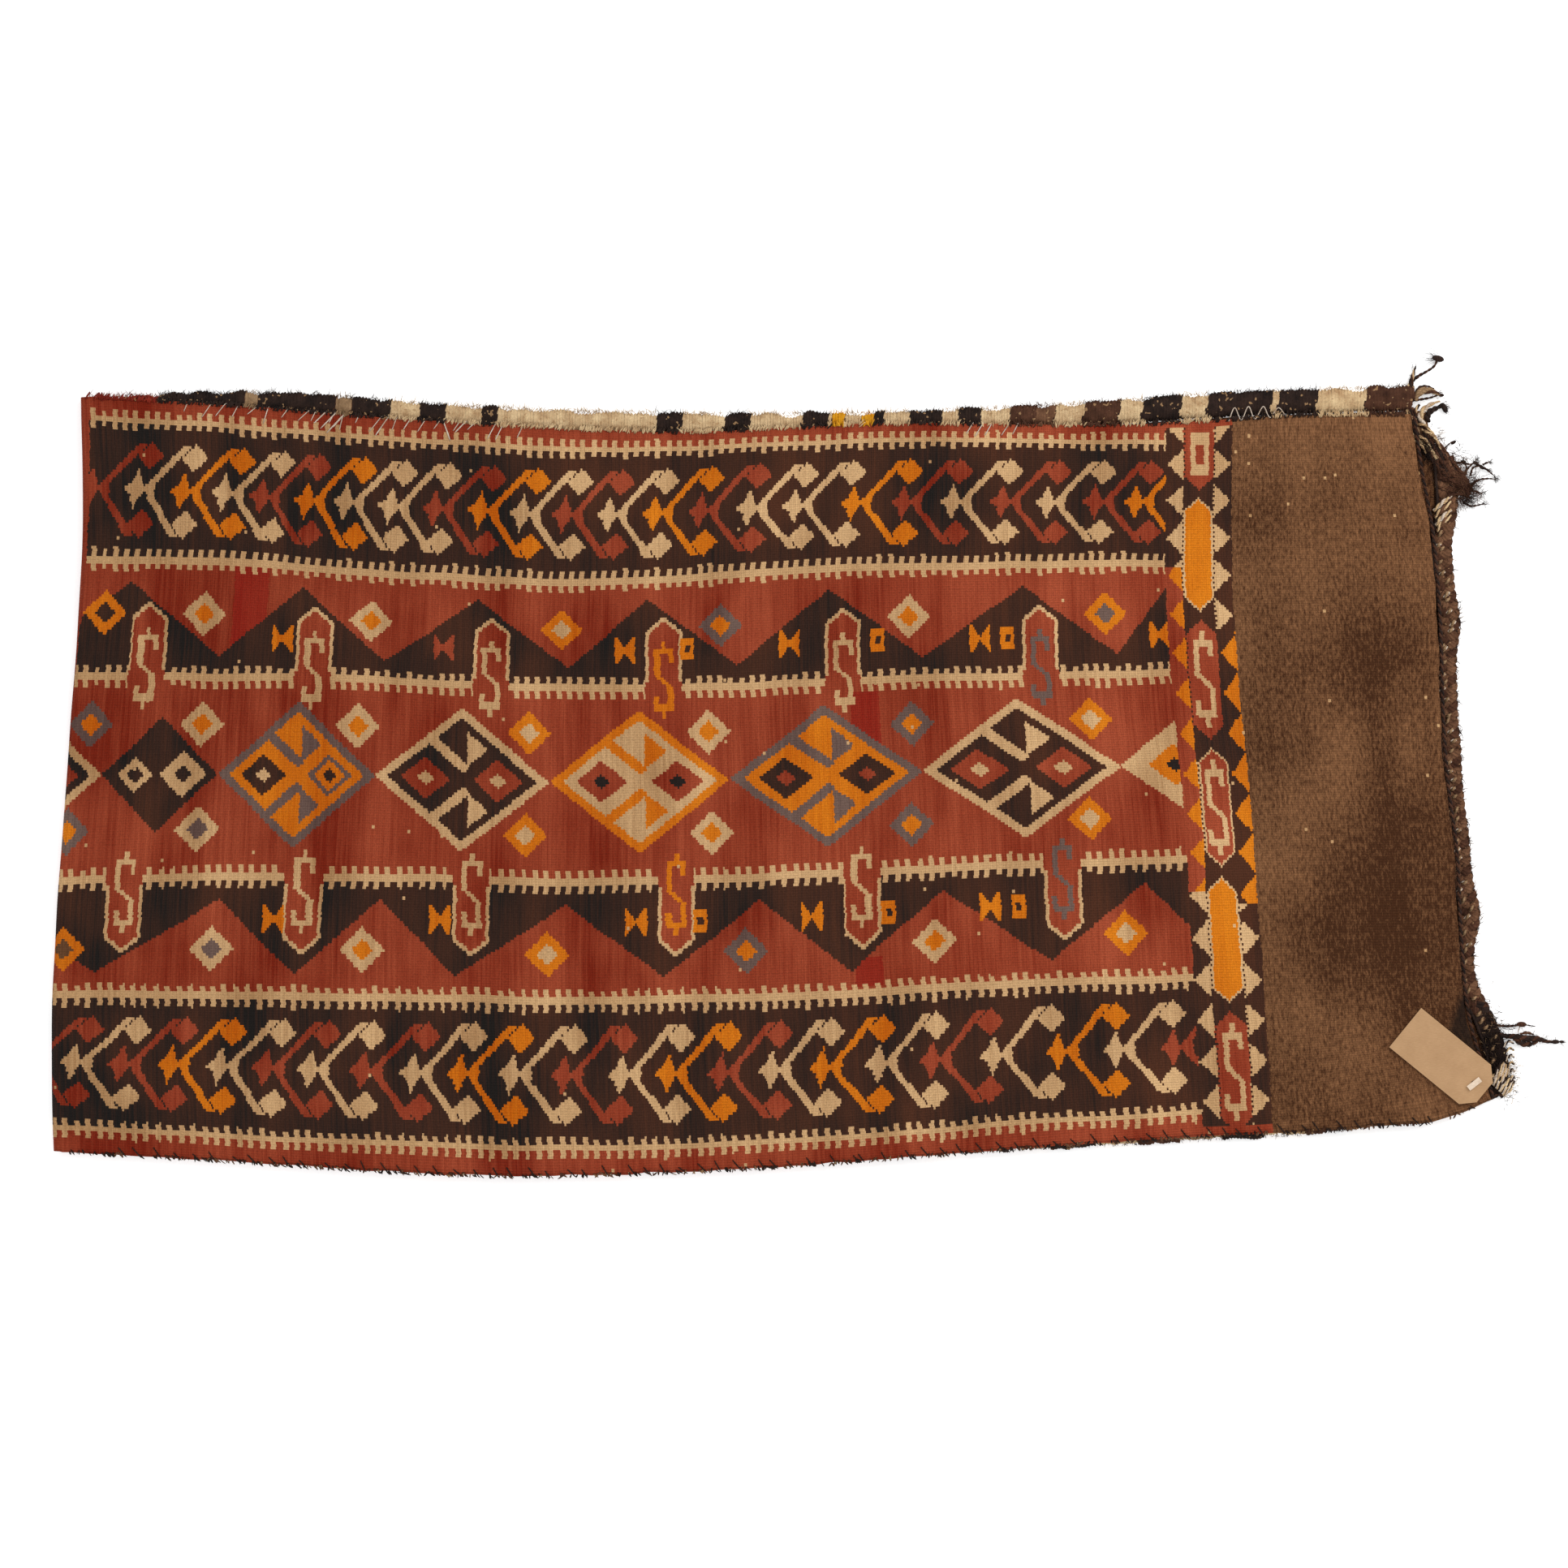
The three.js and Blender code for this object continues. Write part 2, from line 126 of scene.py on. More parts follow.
class Finish:
    """A procedural material: its nodes are added one by one, each fed by values or numbers."""

    def __init__(self, name):
        self.material = bpy.data.materials.new(name)
        self.material.use_nodes = True
        self.tree = self.material.node_tree
        self.tree.nodes.clear()

    def add(self, kind, settings, sockets, out=0):
        node = self.tree.nodes.new("ShaderNode" + kind)
        for key, setting in settings.items():
            if key == "stops":
                self.set_stops(node.color_ramp, setting)
            elif key == "knots":
                self.set_knots(node.mapping, setting)
            else:
                setattr(node, key, setting)
        for key, value in sockets.items():
            if isinstance(value, Value):
                self.tree.links.new(value.socket, node.inputs[key])
            else:
                node.inputs[key].default_value = value
        self.last = node
        return Value(self, node.outputs[out])

    @staticmethod
    def set_stops(ramp, stops):
        """Constant steps. Each stop is (position, colour)."""
        ramp.interpolation = "CONSTANT"
        while len(ramp.elements) > 1:
            ramp.elements.remove(ramp.elements[-1])
        for i, (position, colour) in enumerate(stops):
            element = ramp.elements[0] if i == 0 else ramp.elements.new(position)
            element.position = position
            element.color = (*colour, 1.0) if len(colour) == 3 else colour

    @staticmethod
    def set_knots(mapping, knots):
        """A line of straight stretches through the knots, for numbers from 0 to 1."""
        curve = mapping.curves[0]
        while len(curve.points) > 2:
            curve.points.remove(curve.points[1])
        curve.points[0].location, curve.points[-1].location = knots[0], knots[-1]
        for knot in knots[1:-1]:
            curve.points.new(*knot)
        for point in curve.points:
            point.handle_type = "VECTOR"
        mapping.update()

    def split(self, value, kind="SeparateColor"):
        """The three parts of a vector or colour."""
        self.add(kind, {}, {0: value})
        node = self.last
        return [Value(self, node.outputs[i]) for i in range(3)]

    def table(self, rows, top, index):
        """Looks a row of three or four numbers from 0 to 1 up by its index."""
        first = self.add("ValToRGB", {"stops": steps(rows, top)}, {"Fac": index / top + 0.5 / top})
        node = self.last
        found = self.split(first)
        return (*found, Value(self, node.outputs[1])) if len(rows[0]) == 4 else found

    def dye_table(self, dyes, index):
        """Looks a dye number up by its index, up to 32 of them."""
        stops = steps([(packed(dye),) * 3 for dye in dyes], ROWS)
        return unpacked(self.add("ValToRGB", {"stops": stops}, {"Fac": index / ROWS + 0.5 / ROWS}))

    def noise(self, vector, scale, detail=2.0, roughness=0.5, out=0):
        return self.add("TexNoise", {}, {"Vector": vector, "Scale": scale, "Detail": detail,
            "Roughness": roughness}, out)

    def vector(self, x, y, z=0.0):
        return self.add("CombineXYZ", {}, {"X": x, "Y": y, "Z": z})

    def tint(self, amount, colour, other, blend="MIX"):
        """Mixes two colours by an amount, which may be a value."""
        return self.add(
            "Mix", {"data_type": "RGBA", "blend_type": blend}, {"Factor": amount, "A": colour, "B": other}, 2
        )

    def surface(self, colour, roughness=0.9, bump=None, strength=0.5, distance=0.001, **constant):
        """Closes the material with one Principled shader."""
        sockets = {"Base Color": colour, "Roughness": roughness, **constant}
        if bump is not None:
            sockets["Normal"] = self.add("Bump", {},
                {"Strength": strength, "Distance": distance, "Height": bump})
        shader = self.add("BsdfPrincipled", {}, sockets)
        output = self.tree.nodes.new("ShaderNodeOutputMaterial")
        self.tree.links.new(shader.socket, output.inputs["Surface"])
        return self.material


def steps(values, top):
    """Constant stops that give values[i] from i / top of the range on."""
    return [(i / top, v) for i, v in enumerate(values)]


def linear(red, green, blue):
    """A colour given in display numbers from 0 to 255, as linear light."""
    c = np.array([red, green, blue]) / 255
    return tuple(float(x) for x in np.where(c <= 0.04045, c / 12.92, ((c + 0.055) / 1.055) ** 2.4))


def opaque(colour):
    return (*colour, 1.0)


# ---------------------------------------------------------------- meshes


def make_mesh(name, points, faces, material, uv=None, smooth=True, dye=None, uv_name="cloth"):
    """A mesh object from arrays: points (n, 3) in mm, faces (m, 3 or 4), uv and dye per point."""
    mesh = bpy.data.meshes.new(name)
    points, faces = np.asarray(points, float) / 1000, np.asarray(faces)
    sides = faces.shape[1]
    mesh.vertices.add(len(points))
    mesh.vertices.foreach_set("co", points.ravel())
    mesh.loops.add(faces.size)
    mesh.loops.foreach_set("vertex_index", faces.ravel())
    mesh.polygons.add(len(faces))
    mesh.polygons.foreach_set("loop_start", np.arange(0, faces.size, sides))
    mesh.polygons.foreach_set("loop_total", np.full(len(faces), sides))
    mesh.update(calc_edges=True)
    mesh.validate()
    mesh.polygons.foreach_set("use_smooth", np.full(len(faces), smooth))
    if uv is not None:
        layer = mesh.uv_layers.new(name=uv_name)
        layer.data.foreach_set("uv", np.asarray(uv, float)[faces.ravel()].ravel())
    if dye is not None:
        layer = mesh.attributes.new("dye", "FLOAT", "POINT")
        layer.data.foreach_set("value", np.asarray(dye, float))
    piece = bpy.data.objects.new(name, mesh)
    bpy.context.collection.objects.link(piece)
    mesh.materials.append(material)
    return piece


def grid_faces(rows, columns, closed=False):
    """Quads over a grid of points stored row by row. A closed grid joins its last column to its first."""
    i, j = np.meshgrid(np.arange(rows - 1), np.arange(columns if closed else columns - 1), indexing="ij")
    k = (j + 1) % columns
    quads = np.stack([i * columns + j, (i + 1) * columns + j, (i + 1) * columns + k, i * columns + k], -1)
    return quads.reshape(-1, 4)


def closed_sheet(outer, inner):
    """One closed skin: the outer grid, the inner grid turned over, and a strip along each edge."""
    rows, columns = outer.shape[:2]
    count = rows * columns
    index = np.arange(count).reshape(rows, columns)
    faces = [grid_faces(rows, columns), grid_faces(rows, columns)[:, ::-1] + count]
    for rim, flip in ((index[0], 0), (index[-1], 1), (index[:, 0], 1), (index[:, -1], 0)):
        strip = np.stack([rim[:-1], rim[1:], rim[1:] + count, rim[:-1] + count], -1)
        faces.append(strip[:, ::-1] if flip else strip)
    return np.concatenate([outer.reshape(-1, 3), inner.reshape(-1, 3)]), np.concatenate(faces)


def faces_out(points, faces):
    """Turns every face over if the closed skin's volume comes out negative."""
    a, b, c = (points[faces[:, i]] for i in (0, 1, 2))
    volume = np.einsum("ij,ij->i", a, np.cross(b, c)).sum()
    if faces.shape[1] == 4:
        d = points[faces[:, 3]]
        volume += np.einsum("ij,ij->i", a, np.cross(c, d)).sum()
    return faces if volume > 0 else faces[:, ::-1]


def tube_faces(count, stations, sides):
    """Faces of count closed tubes stored one after another: a skin round each, and a ladder of quads
    over each end. The number of sides is even."""
    rung = np.arange(sides // 2 - 1)
    ladder = np.stack([rung, rung + 1, sides - 2 - rung, sides - 1 - rung], -1)
    one = np.concatenate([grid_faces(stations, sides, True), ladder, ladder[:, ::-1] + (stations - 1) * sides])
    return (one + (np.arange(count) * stations * sides)[:, None, None]).reshape(-1, 4)


def strands(paths, radii, sides=6, flat=1.0):
    """Round strands along paths (count, stations, 3), thick as radii (count, stations). Each ring stands
    square to the path: its first axis is level, its second is that axis turned up by a quarter and
    squashed by flat. Returns points, faces and (distance along, turn) for each point."""
    paths = np.asarray(paths, float)
    radii = np.broadcast_to(radii, paths.shape[:2])
    forward = np.gradient(paths, axis=1)
    forward /= np.linalg.norm(forward, axis=-1, keepdims=True) + 1e-9
    side = np.cross(forward, (1e-4, 2e-4, 1.0))
    side /= np.linalg.norm(side, axis=-1, keepdims=True)
    up = np.cross(side, forward)
    turn = np.arange(sides) / sides
    ring = side[:, :, None] * np.cos(TAU * turn)[:, None] + up[:, :, None] * (flat * np.sin(TAU * turn))[:,
        None]
    points = paths[:, :, None] + radii[..., None, None] * ring
    steps_along = np.linalg.norm(np.diff(paths, axis=1), axis=-1)
    along = np.concatenate([np.zeros((len(paths), 1)), np.cumsum(steps_along, 1)], 1)
    uv = np.stack(np.broadcast_arrays(along[..., None] / 1000, turn), -1)
    return points.reshape(-1, 3), tube_faces(*paths.shape[:2], sides), uv.reshape(-1, 2)


class Bundle:
    """Strands collected into one mesh, each with its own yarn."""

    def __init__(self):
        self.points, self.faces, self.uv, self.dye, self.count = [], [], [], [], 0

    def lay(self, paths, radii, yarn, sides=6, flat=1.0):
        """Adds strands. yarn is one number, or one for each strand or station."""
        paths = np.asarray(paths, float)
        paths = paths[None] if paths.ndim == 2 else paths
        points, faces, uv = strands(paths, radii, sides, flat)
        yarn = np.asarray(yarn, float)
        yarn = yarn[:, None] if yarn.ndim == 1 and len(yarn) == len(paths) else yarn
        self.skin(points, faces, uv, np.repeat(np.broadcast_to(yarn, paths.shape[:2]).ravel(), sides))

    def skin(self, points, faces, uv, dye):
        self.points.append(points)
        self.faces.append(faces_out(points, faces) + self.count)
        self.uv.append(uv)
        self.dye.append(dye)
        self.count += len(points)

    def piece(self, name, material, slot, *nodes):
        made = make_mesh(
            name, *map(np.concatenate, (self.points, self.faces)), material,
            np.concatenate(self.uv), dye=np.concatenate(self.dye), uv_name="yarn",
        )
        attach(made, "root")
        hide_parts(*nodes)
        return made


def curved(knots, stations=24):
    """A smooth path through a few points: each coordinate is a cubic line through its knots, which are
    spaced by the distance between them."""
    knots = np.asarray(knots, float)
    reach = np.concatenate([[0], np.cumsum(np.linalg.norm(np.diff(knots, axis=0), axis=1))])
    at = np.linspace(0, reach[-1], stations)
    return np.stack([through(reach, knots[:, axis])(at) for axis in range(3)], -1)


def wild_hairs(bases, directions, lengths, curl, stations=5, droop=0.0):
    """Paths of loose hairs: straight out from the base, plus a bend square to it that grows as the square
    of the distance, plus an optional fall."""
    t = np.linspace(0, 1, stations)[None, :, None]
    directions = directions / np.linalg.norm(directions, axis=1, keepdims=True)
    bend = rng.normal(0, 1, directions.shape)
    bend -= (bend * directions).sum(1, keepdims=True) * directions
    out = bases[:, None] + lengths[:, None, None] * (directions[:, None] * t + curl * bend[:, None] * t * t)
    out[..., 2] -= droop * t[..., 0] ** 2
    out[..., 2] = np.maximum(out[..., 2], 0.35)
    return out


# ---------------------------------------------------------------- the cloth's plan


def through(knots, heights):
    """A smooth line through points: cubic stretches whose slope at each point is the mean slope there."""
    knots, heights = np.asarray(knots, float), np.asarray(heights, float)
    slopes = np.gradient(heights, knots)

    def line(x):
        inside = np.clip(x, knots[0], knots[-1])
        i = np.clip(np.searchsorted(knots, inside) - 1, 0, len(knots) - 2)
        step = knots[i + 1] - knots[i]
        t = (inside - knots[i]) / step
        a, b = heights[i], heights[i + 1]
        curve = a * (1 + 2 * t) * (1 - t) ** 2 + b * t * t * (3 - 2 * t)
        curve = curve + slopes[i] * step * t * (1 - t) ** 2 - slopes[i + 1] * step * t * t * (1 - t)
        return curve + (x - inside) * np.where(x < inside, slopes[0], slopes[-1])

    return line


def side_line(*points):
    return through([p[0] for p in points], [p[1] for p in points])


def end_line(*points):
    """The same for a line that runs across the bag: x for a given y."""
    return through([p[1] for p in points], [p[0] for p in points])


FOLD_LINE = end_line((-611, -312), (-612, -203), (-600, -3), (-586, 197), (-589, 292))
FRONT_MOUTH = end_line(
    (541, -271), (521, -204), (515, -147), (510.5, -66), (504.5, -20), (501, 25), (498, 116), (491, 190),
    (482.5, 236), (477, 278)
)
OUTER_MOUTH = end_line(
    (558, -265), (555, -228), (545, -205), (533, -181), (531, -146), (535, -123), (529, -98), (527, -70),
    (521.5, -25),
    (518, 30), (516.5, 58), (516, 88), (519, 108), (514.5, 142), (512, 170), (516, 201), (506, 297)
)
FRONT_NEAR = side_line(
    (-611, -312), (-489, -319), (-245, -332), (-66, -327), (124, -313), (299, -301), (448, -292.5),
    (505, -286), (541, -271)
)
FRONT_FAR = side_line((-589, 292), (-497, 287), (-299, 272), (-105, 264), (50, 270), (264, 270), (392, 277),
    (477, 278))
OUTER_NEAR = side_line((-608, -309), (-489, -315), (-245, -328), (-66, -324), (124, -314), (299, -305),
    (448, -293), (548, -271))
OUTER_FAR = side_line((-588, 294), (-424, 296), (-299, 287), (-105, 280), (50, 281), (193, 287), (323, 296),
    (492, 302))
# The line on which the weave's columns would end if they all ran on at the same spacing.
COLUMN_END = end_line((527, -283), (524, -245), (515, -147), (506, -43), (492, 64), (484, 170), (485.5, 249))
LEFT_CORD_WIDTH, RIGHT_CORD_WIDTH, BRAID_WIDTH = 20.0, 12.0, 18.0
CLOTH = 3.0

# Where the woven lines lie on the bag: for each height h across the cloth, y at the stations in x.
STATIONS = (-590, -480, -380, -280, -200, -120, -35, 70, 175, 280, 400, 520)
INNER_LINE, MIDDLE_LINE, OUTER_LINE = 76.7, 169.7, 278.5
LINE_HEIGHTS = (-OUTER_LINE, -MIDDLE_LINE, -INNER_LINE, INNER_LINE, MIDDLE_LINE, OUTER_LINE)
WOVEN_LINES = (
    (-294, -300, -305, -308, -310, -308, -305, -298, -289, -283, -276, -258),
    (-187, -188, -189, -191, -193, -192, -190, -184, -178, -175, -173, -172),
    (-95, -92, -92, -95, -97, -95, -92, -87, -82, -79, -77, -76),
    (68, 67, 66, 61, 59, 59, 61, 66, 68, 70, 71, 71),
    (162, 161, 153, 147, 144, 146, 153, 157, 158, 159, 159, 160),
    (276, 270, 262, 255, 250, 251, 254, 258, 257, 256, 256, 255),
)
NEAR_EDGE, FAR_EDGE = -298.0, 294.0
LENGTH = 1110.0


def cloth_place(u, h):
    """Plan position of a point of the front: x runs from the fold to the mouth in proportion to u,
    y lies between the two nearest woven lines in proportion to h."""
    lines = [through(STATIONS, line) for line in WOVEN_LINES]
    heights = np.array([NEAR_EDGE, *LINE_HEIGHTS, FAR_EDGE])
    x = u + FOLD_LINE(h)
    late = np.clip((u / LENGTH - 0.86) / 0.14, 0, 1)
    late = late * late * (3 - 2 * late)
    for _ in range(3):
        levels = np.stack([FRONT_NEAR(x), *(line(x) for line in lines), FRONT_FAR(x)])
        k = np.clip(np.searchsorted(heights, h, side="right") - 1, 0, len(heights) - 2)
        part = (h - heights[k]) / (heights[k + 1] - heights[k])
        low, high = (np.take_along_axis(levels, (k + d)[None], 0)[0] for d in (0, 1))
        y = low + part * (high - low)
        end = COLUMN_END(y) + (FRONT_MOUTH(y) - COLUMN_END(y)) * late
        x = FOLD_LINE(y) + (end - FOLD_LINE(y)) * u / LENGTH
    return x, y


def ripples(x, y, seed, shortest, longest, count=7):
    """A sum of straight waves of seeded directions and lengths, within about -1 to 1."""
    waves = np.random.default_rng(seed)
    total = 0
    for _ in range(count):
        length, turn, phase = waves.uniform(shortest, longest), waves.uniform(0, TAU), waves.uniform(0, TAU)
        total = total + np.sin((x * np.cos(turn) + y * np.sin(turn)) * TAU / length + phase)
    return total / np.sqrt(count) / 1.6


def front_top(x, y):
    """Height of the front's upper face: nearly flat, with slow swells that die out at the tag and a
    little fall towards the two seams."""
    to_side = np.minimum(FRONT_FAR(x) - y, y - FRONT_NEAR(x))
    fall = 0.7 * np.exp(-((np.clip(to_side, 0, None) / 16) ** 2))
    away = 1 - np.exp(-(((x - 494) / 60) ** 2 + ((y + 233) / 55) ** 2))
    swell = 1.5 * ripples(x, y, 3, 170, 420) + 0.55 * ripples(x, y, 4, 45, 110)
    return 12.0 - fall + away * swell


def back_under(x, y):
    """Height of the back's lower face: on the floor, with its corners a little raised."""
    return 0.02 + 0.5 * np.clip(ripples(x, y, 5, 120, 300), 0, 1)


# ---------------------------------------------------------------- the kilim's finish

RED, DARK, CREAM, ORANGE, GREY, BROWN, BLACK = range(7)
DYES = [  # each dye in two tones, as the hand-spun wool takes it
    (linear(112, 29, 10), linear(162, 74, 47)),
    (linear(27, 23, 21), linear(76, 43, 28)),
    (linear(160, 120, 80), linear(212, 172, 124)),
    (linear(176, 82, 2), linear(214, 122, 22)),
    (linear(84, 62, 56), linear(116, 94, 84)),
    (linear(64, 36, 18), linear(135, 93, 61)),
    (linear(26, 20, 18), linear(44, 34, 30)),
]
DYE_STEPS, ROWS = 8, 32  # how many dyes, and how many rows, a lookup holds
RIB, WEFT = 2.0, 1.4  # spacing of the warp ribs and of the steps between colours, mm
SPAN = 1200.0  # the range of u that the lookups cover, from -100


def packed(dye):
    """A dye number as a part of one, in the middle of its step."""
    return dye / DYE_STEPS + 0.5 / DYE_STEPS


def unpacked(part):
    return part * DYE_STEPS - 0.5


def part_of_span(u):
    return (u + 100) / SPAN


def along(places, step=1.0):
    """Knots of a count that goes up by one step at each place along the cloth, as parts of ROWS."""
    return [(part_of_span(u), i * step / ROWS) for i, u in enumerate(places)]


def ground(m, u, h, a, lower, p, from_peak):
    """Bands between the toothed lines: red with dark mountains in the middle ones, dark in the outer ones."""
    mountain = abs(from_peak) / 72 * -58 + 152
    return mountain, ((a > INNER_LINE) & (a < mountain)) | a.near(224.1, 54.4)


def arrows(m, u, h, a, lower, dye):
    """Two rows of arrows: a pointed tail with a cross bar, open arms and a diamond in each hand."""
    lean = (h - lower.choose(224.0, -224.0)) * (u * -0.00018 + 0.2)
    u = u - lean
    y = abs(a - 224)
    hands = y > 15
    foot = y * 0.5 - 11.5 + hands * (y * 0.3 + 13.5)  # where the shape begins at this height
    upper_row = (7, 44, 83, 117, 147, 185, 218, 255, 292, 329, 364, 399, 436, 474, 513, 553, 591, 639, 681,
        722, 763, 800, 840, 873)
    lower_row = (-20, 18, 55, 93, 132, 168, 203, 245, 283, 320, 361, 401, 446, 483, 524, 564, 604, 647, 690,
        738, 789, 834, 880)
    place = part_of_span(u - foot)
    ups = m.add("FloatCurve", {"knots": along((-100, *upper_row, 1000))}, {"Value": place})
    downs = m.add("FloatCurve", {"knots": along((-100, *lower_row, 1000))}, {"Value": place})
    arrow = (lower.choose(ups, downs) * ROWS - 0.97).floor()
    letters = {"R": RED, "C": CREAM, "O": ORANGE}
    up_centre, up_dye, _ = m.table([(part_of_span(c), packed(letters[k]), 0) for c,
        k in zip(upper_row, "RCOCROCCROCRCORCCORCRCRO")], ROWS, arrow)
    down_centre, down_dye, _ = m.table([(part_of_span(c), packed(letters[k]), 0) for c,
        k in zip(lower_row, "RCROCRCRCOCRCORCOCRCOCR")], ROWS, arrow)
    x = u - lower.choose(up_centre, down_centre) * SPAN + 100
    arms = (x > y * 0.8 + 5.5) & (x < (y - 5).math("MAXIMUM", 0.0) * 0.85 + 15.5) & (y < 37.0)
    tail = (abs(x) * 2.4 + y < 15.5) | (abs(x + 1) + y * 1.3 < 9.8)
    hand = (abs(x - 45.5) + abs(y - 26.5)) < 11.2
    shape = (arms | tail | hand) & a.near(224, 44)
    return shape.choose(dye, unpacked(lower.choose(up_dye, down_dye)))


def small_diamonds(m, u, a, lower, valley, dye):
    """Two rows of ringed diamonds on each side of the middle, one in each valley between mountains."""
    c, o, g, d, b, none = CREAM, ORANGE, GREY, DARK, BROWN, (-95, RED, RED)
    rows = [  # centre along the cloth, ring, heart
        [(18, g, o), (108, c, o), (235, c, o), (374, o, c), (520, c, o), (685, g, o), (830, o, c), none],
        [(5, g, o), (109, c, g), none, (372, o, c), (521, c, o), (681, g, o), (824, o, c), none],
        [(22, o, d), (104, c, o), (242, c, o), (399, o, c), (530, g, o), (685, c, o), (847, o, g), none],
        [(8, o, b), (125, c, g), (244, c, o), (390, o, c), (547, g, o), (697, c, o), (848, o, c), none],
    ]
    outer_row = a > INNER_LINE
    cells = [(part_of_span(centre), packed(ring), packed(heart)) for row in rows for centre, ring, heart in row]
    centre, ring, heart = m.table(cells, ROWS, outer_row * 16 + lower * 8 + valley)
    step = abs(u - centre * SPAN + 100) + abs(a - outer_row * (lower * 5 + 87) - 40.5)
    dye = (step < 18.0).choose(dye, unpacked(ring))
    return (step < 8.6).choose(dye, unpacked(heart))


def medallions(m, u, h, a, dye):
    """A chain of large diamonds down the middle. Each is a square stood on its corner, with a rim, a
    lattice that parts it in four, a flower to either side and a hook above and below."""
    c, o, g, d, r = CREAM, ORANGE, GREY, DARK, RED
    tips = m.add("FloatCurve", {"knots": along((-100, 29, 123, 250, 390, 536, 691, 852, 1000))},
        {"Value": part_of_span(u)}) * ROWS
    index = tips.floor()
    #       rim, lattice, flower, heart
    hues = [(c, d, r, c), (d, d, c, d), (g, o, d, c), (c, d, r, c), (o, c, r, BLACK), (g, o, d, r),
        (c, d, r, c), (c, c, o, BLACK)]
    rim, lattice, flower, heart = m.table([tuple(map(packed, four)) for four in hues], ROWS, index)
    first, second = index.near(1, 0.2), index.near(2, 0.2)
    x = (tips - index) * 2 - 1
    z = (h - 2) / (57 - first * 13)
    across, down = x + z, x - z
    edge = abs(across) | abs(down)
    fill = (edge < 0.86).choose(rim, lattice)
    cell = abs(abs(across) - 0.42) | abs(abs(down) - 0.42)
    beside = (across * down) > 0
    right = x > 0
    strip = (x + abs(z)).near(0.195, 0.085) & (abs(z) - x).near(0.5, 0.42)
    fill = (((~beside) & (cell < 0.31) & (x > 0.06)) | strip).choose(fill, rim)
    odd = second & right
    fill = (beside & (cell < first * 0.02 + (first & right) * 0.1 + 0.29)).choose(fill,
        odd.choose(flower, packed(GREY)))
    fill = (beside & odd & (cell < 0.21)).choose(fill, packed(ORANGE))
    fill = (beside & (cell < (first * 0.06 + 0.1))).choose(fill, odd.choose(heart, packed(DARK)))
    return ((edge < 1) & (a < 70)).choose(dye, unpacked(fill))


def toothed_lines(m, u, a, lower, dye):
    """Cream lines with teeth on both sides, where one band meets the next."""
    tooth = (u % lower.choose(8.8, 9.0)) < 4.1
    long = m.add("TexWhiteNoise", {"noise_dimensions": "1D"}, {"W": (u / 4.4).floor()}) * 2.2
    away = abs(a - INNER_LINE).math("MINIMUM", abs(a - MIDDLE_LINE)).math("MINIMUM", abs(a - OUTER_LINE) + 1.2)
    return ((away < 2.8) | ((away < long + 7.6) & tooth)).choose(dye, float(CREAM))


def scroll(x, z):
    """A doubly bent ribbon: a long leg on the left above, one on the right below, a slanting stroke between
    them, and at each end a cross bar with a short leg and a point."""
    spine = ((z + 2) * -1.1).math("MAXIMUM", -5.6).math("MINIMUM", 5.6)
    end = abs(z)
    short_leg = (x * z.math("SIGN")).near(6.2, 2.1) & end.near(19, 5)
    bar = end.near(23.6, 2.5) & (abs(x) < 8.2)
    point = end.near(29, 3.4) & (abs(x) < 1.9)
    return (x.near(spine, 2.4) & (end < 26)) | short_leg | bar | point


def tabs(m, u, h, a, lower, nearest, dye):
    """A pointed tab hangs from each mountain over the toothed line, with a hooked cord inside, and
    small filling marks stand beside it."""
    c, o, g, none = CREAM, ORANGE, GREY, -95
    upper = [(none, none, none), (59, none, none), (196, 169, none), (342, 302, none), (483, 451, 503),
        (631, 587, 660), (793, 744, 766), (none, 892, none)]
    under = [(none, none, none), (54, none, none), (196, 174, none), (330, 305, none), (492, 460, 511),
        (640, 600, 661), (800, 742, 764), (none, none, none)]
    centre, bow_place, ring_place = m.table([tuple(map(part_of_span, row)) for row in upper + under], ROWS,
        nearest + lower * 8)
    x = u - centre * SPAN + 100
    point = a + abs(x) * 0.85
    dye = ((abs(x) < 14.8) & (a > 80) & (point < 136.8)).choose(dye, float(CREAM))
    dye = ((abs(x) < 12.2) & (a > 78) & (point < 132.8)).choose(dye, float(RED))
    dye = ((abs(x) < 14.8) & a.near(70, 12)).choose(dye, float(RED))
    cord = scroll(x, h - lower.choose(84.5, -88.0))
    stroke = m.dye_table([c, c, c, c, o, c, g, c], nearest)
    dye = cord.choose(dye, stroke)
    v = abs(a - 109)
    x = abs(u - bow_place * SPAN + 100)
    bow = (x < 8.4) & (v < 10.2) & (v < x * 1.4 + 1.6)
    x = abs(u - ring_place * SPAN + 100) * 1.75 | v
    dye = (bow | x.near(6.9, 2.9)).choose(dye, m.dye_table([o, o, o, RED] + [o] * 12, nearest + lower * 8))
    return dye


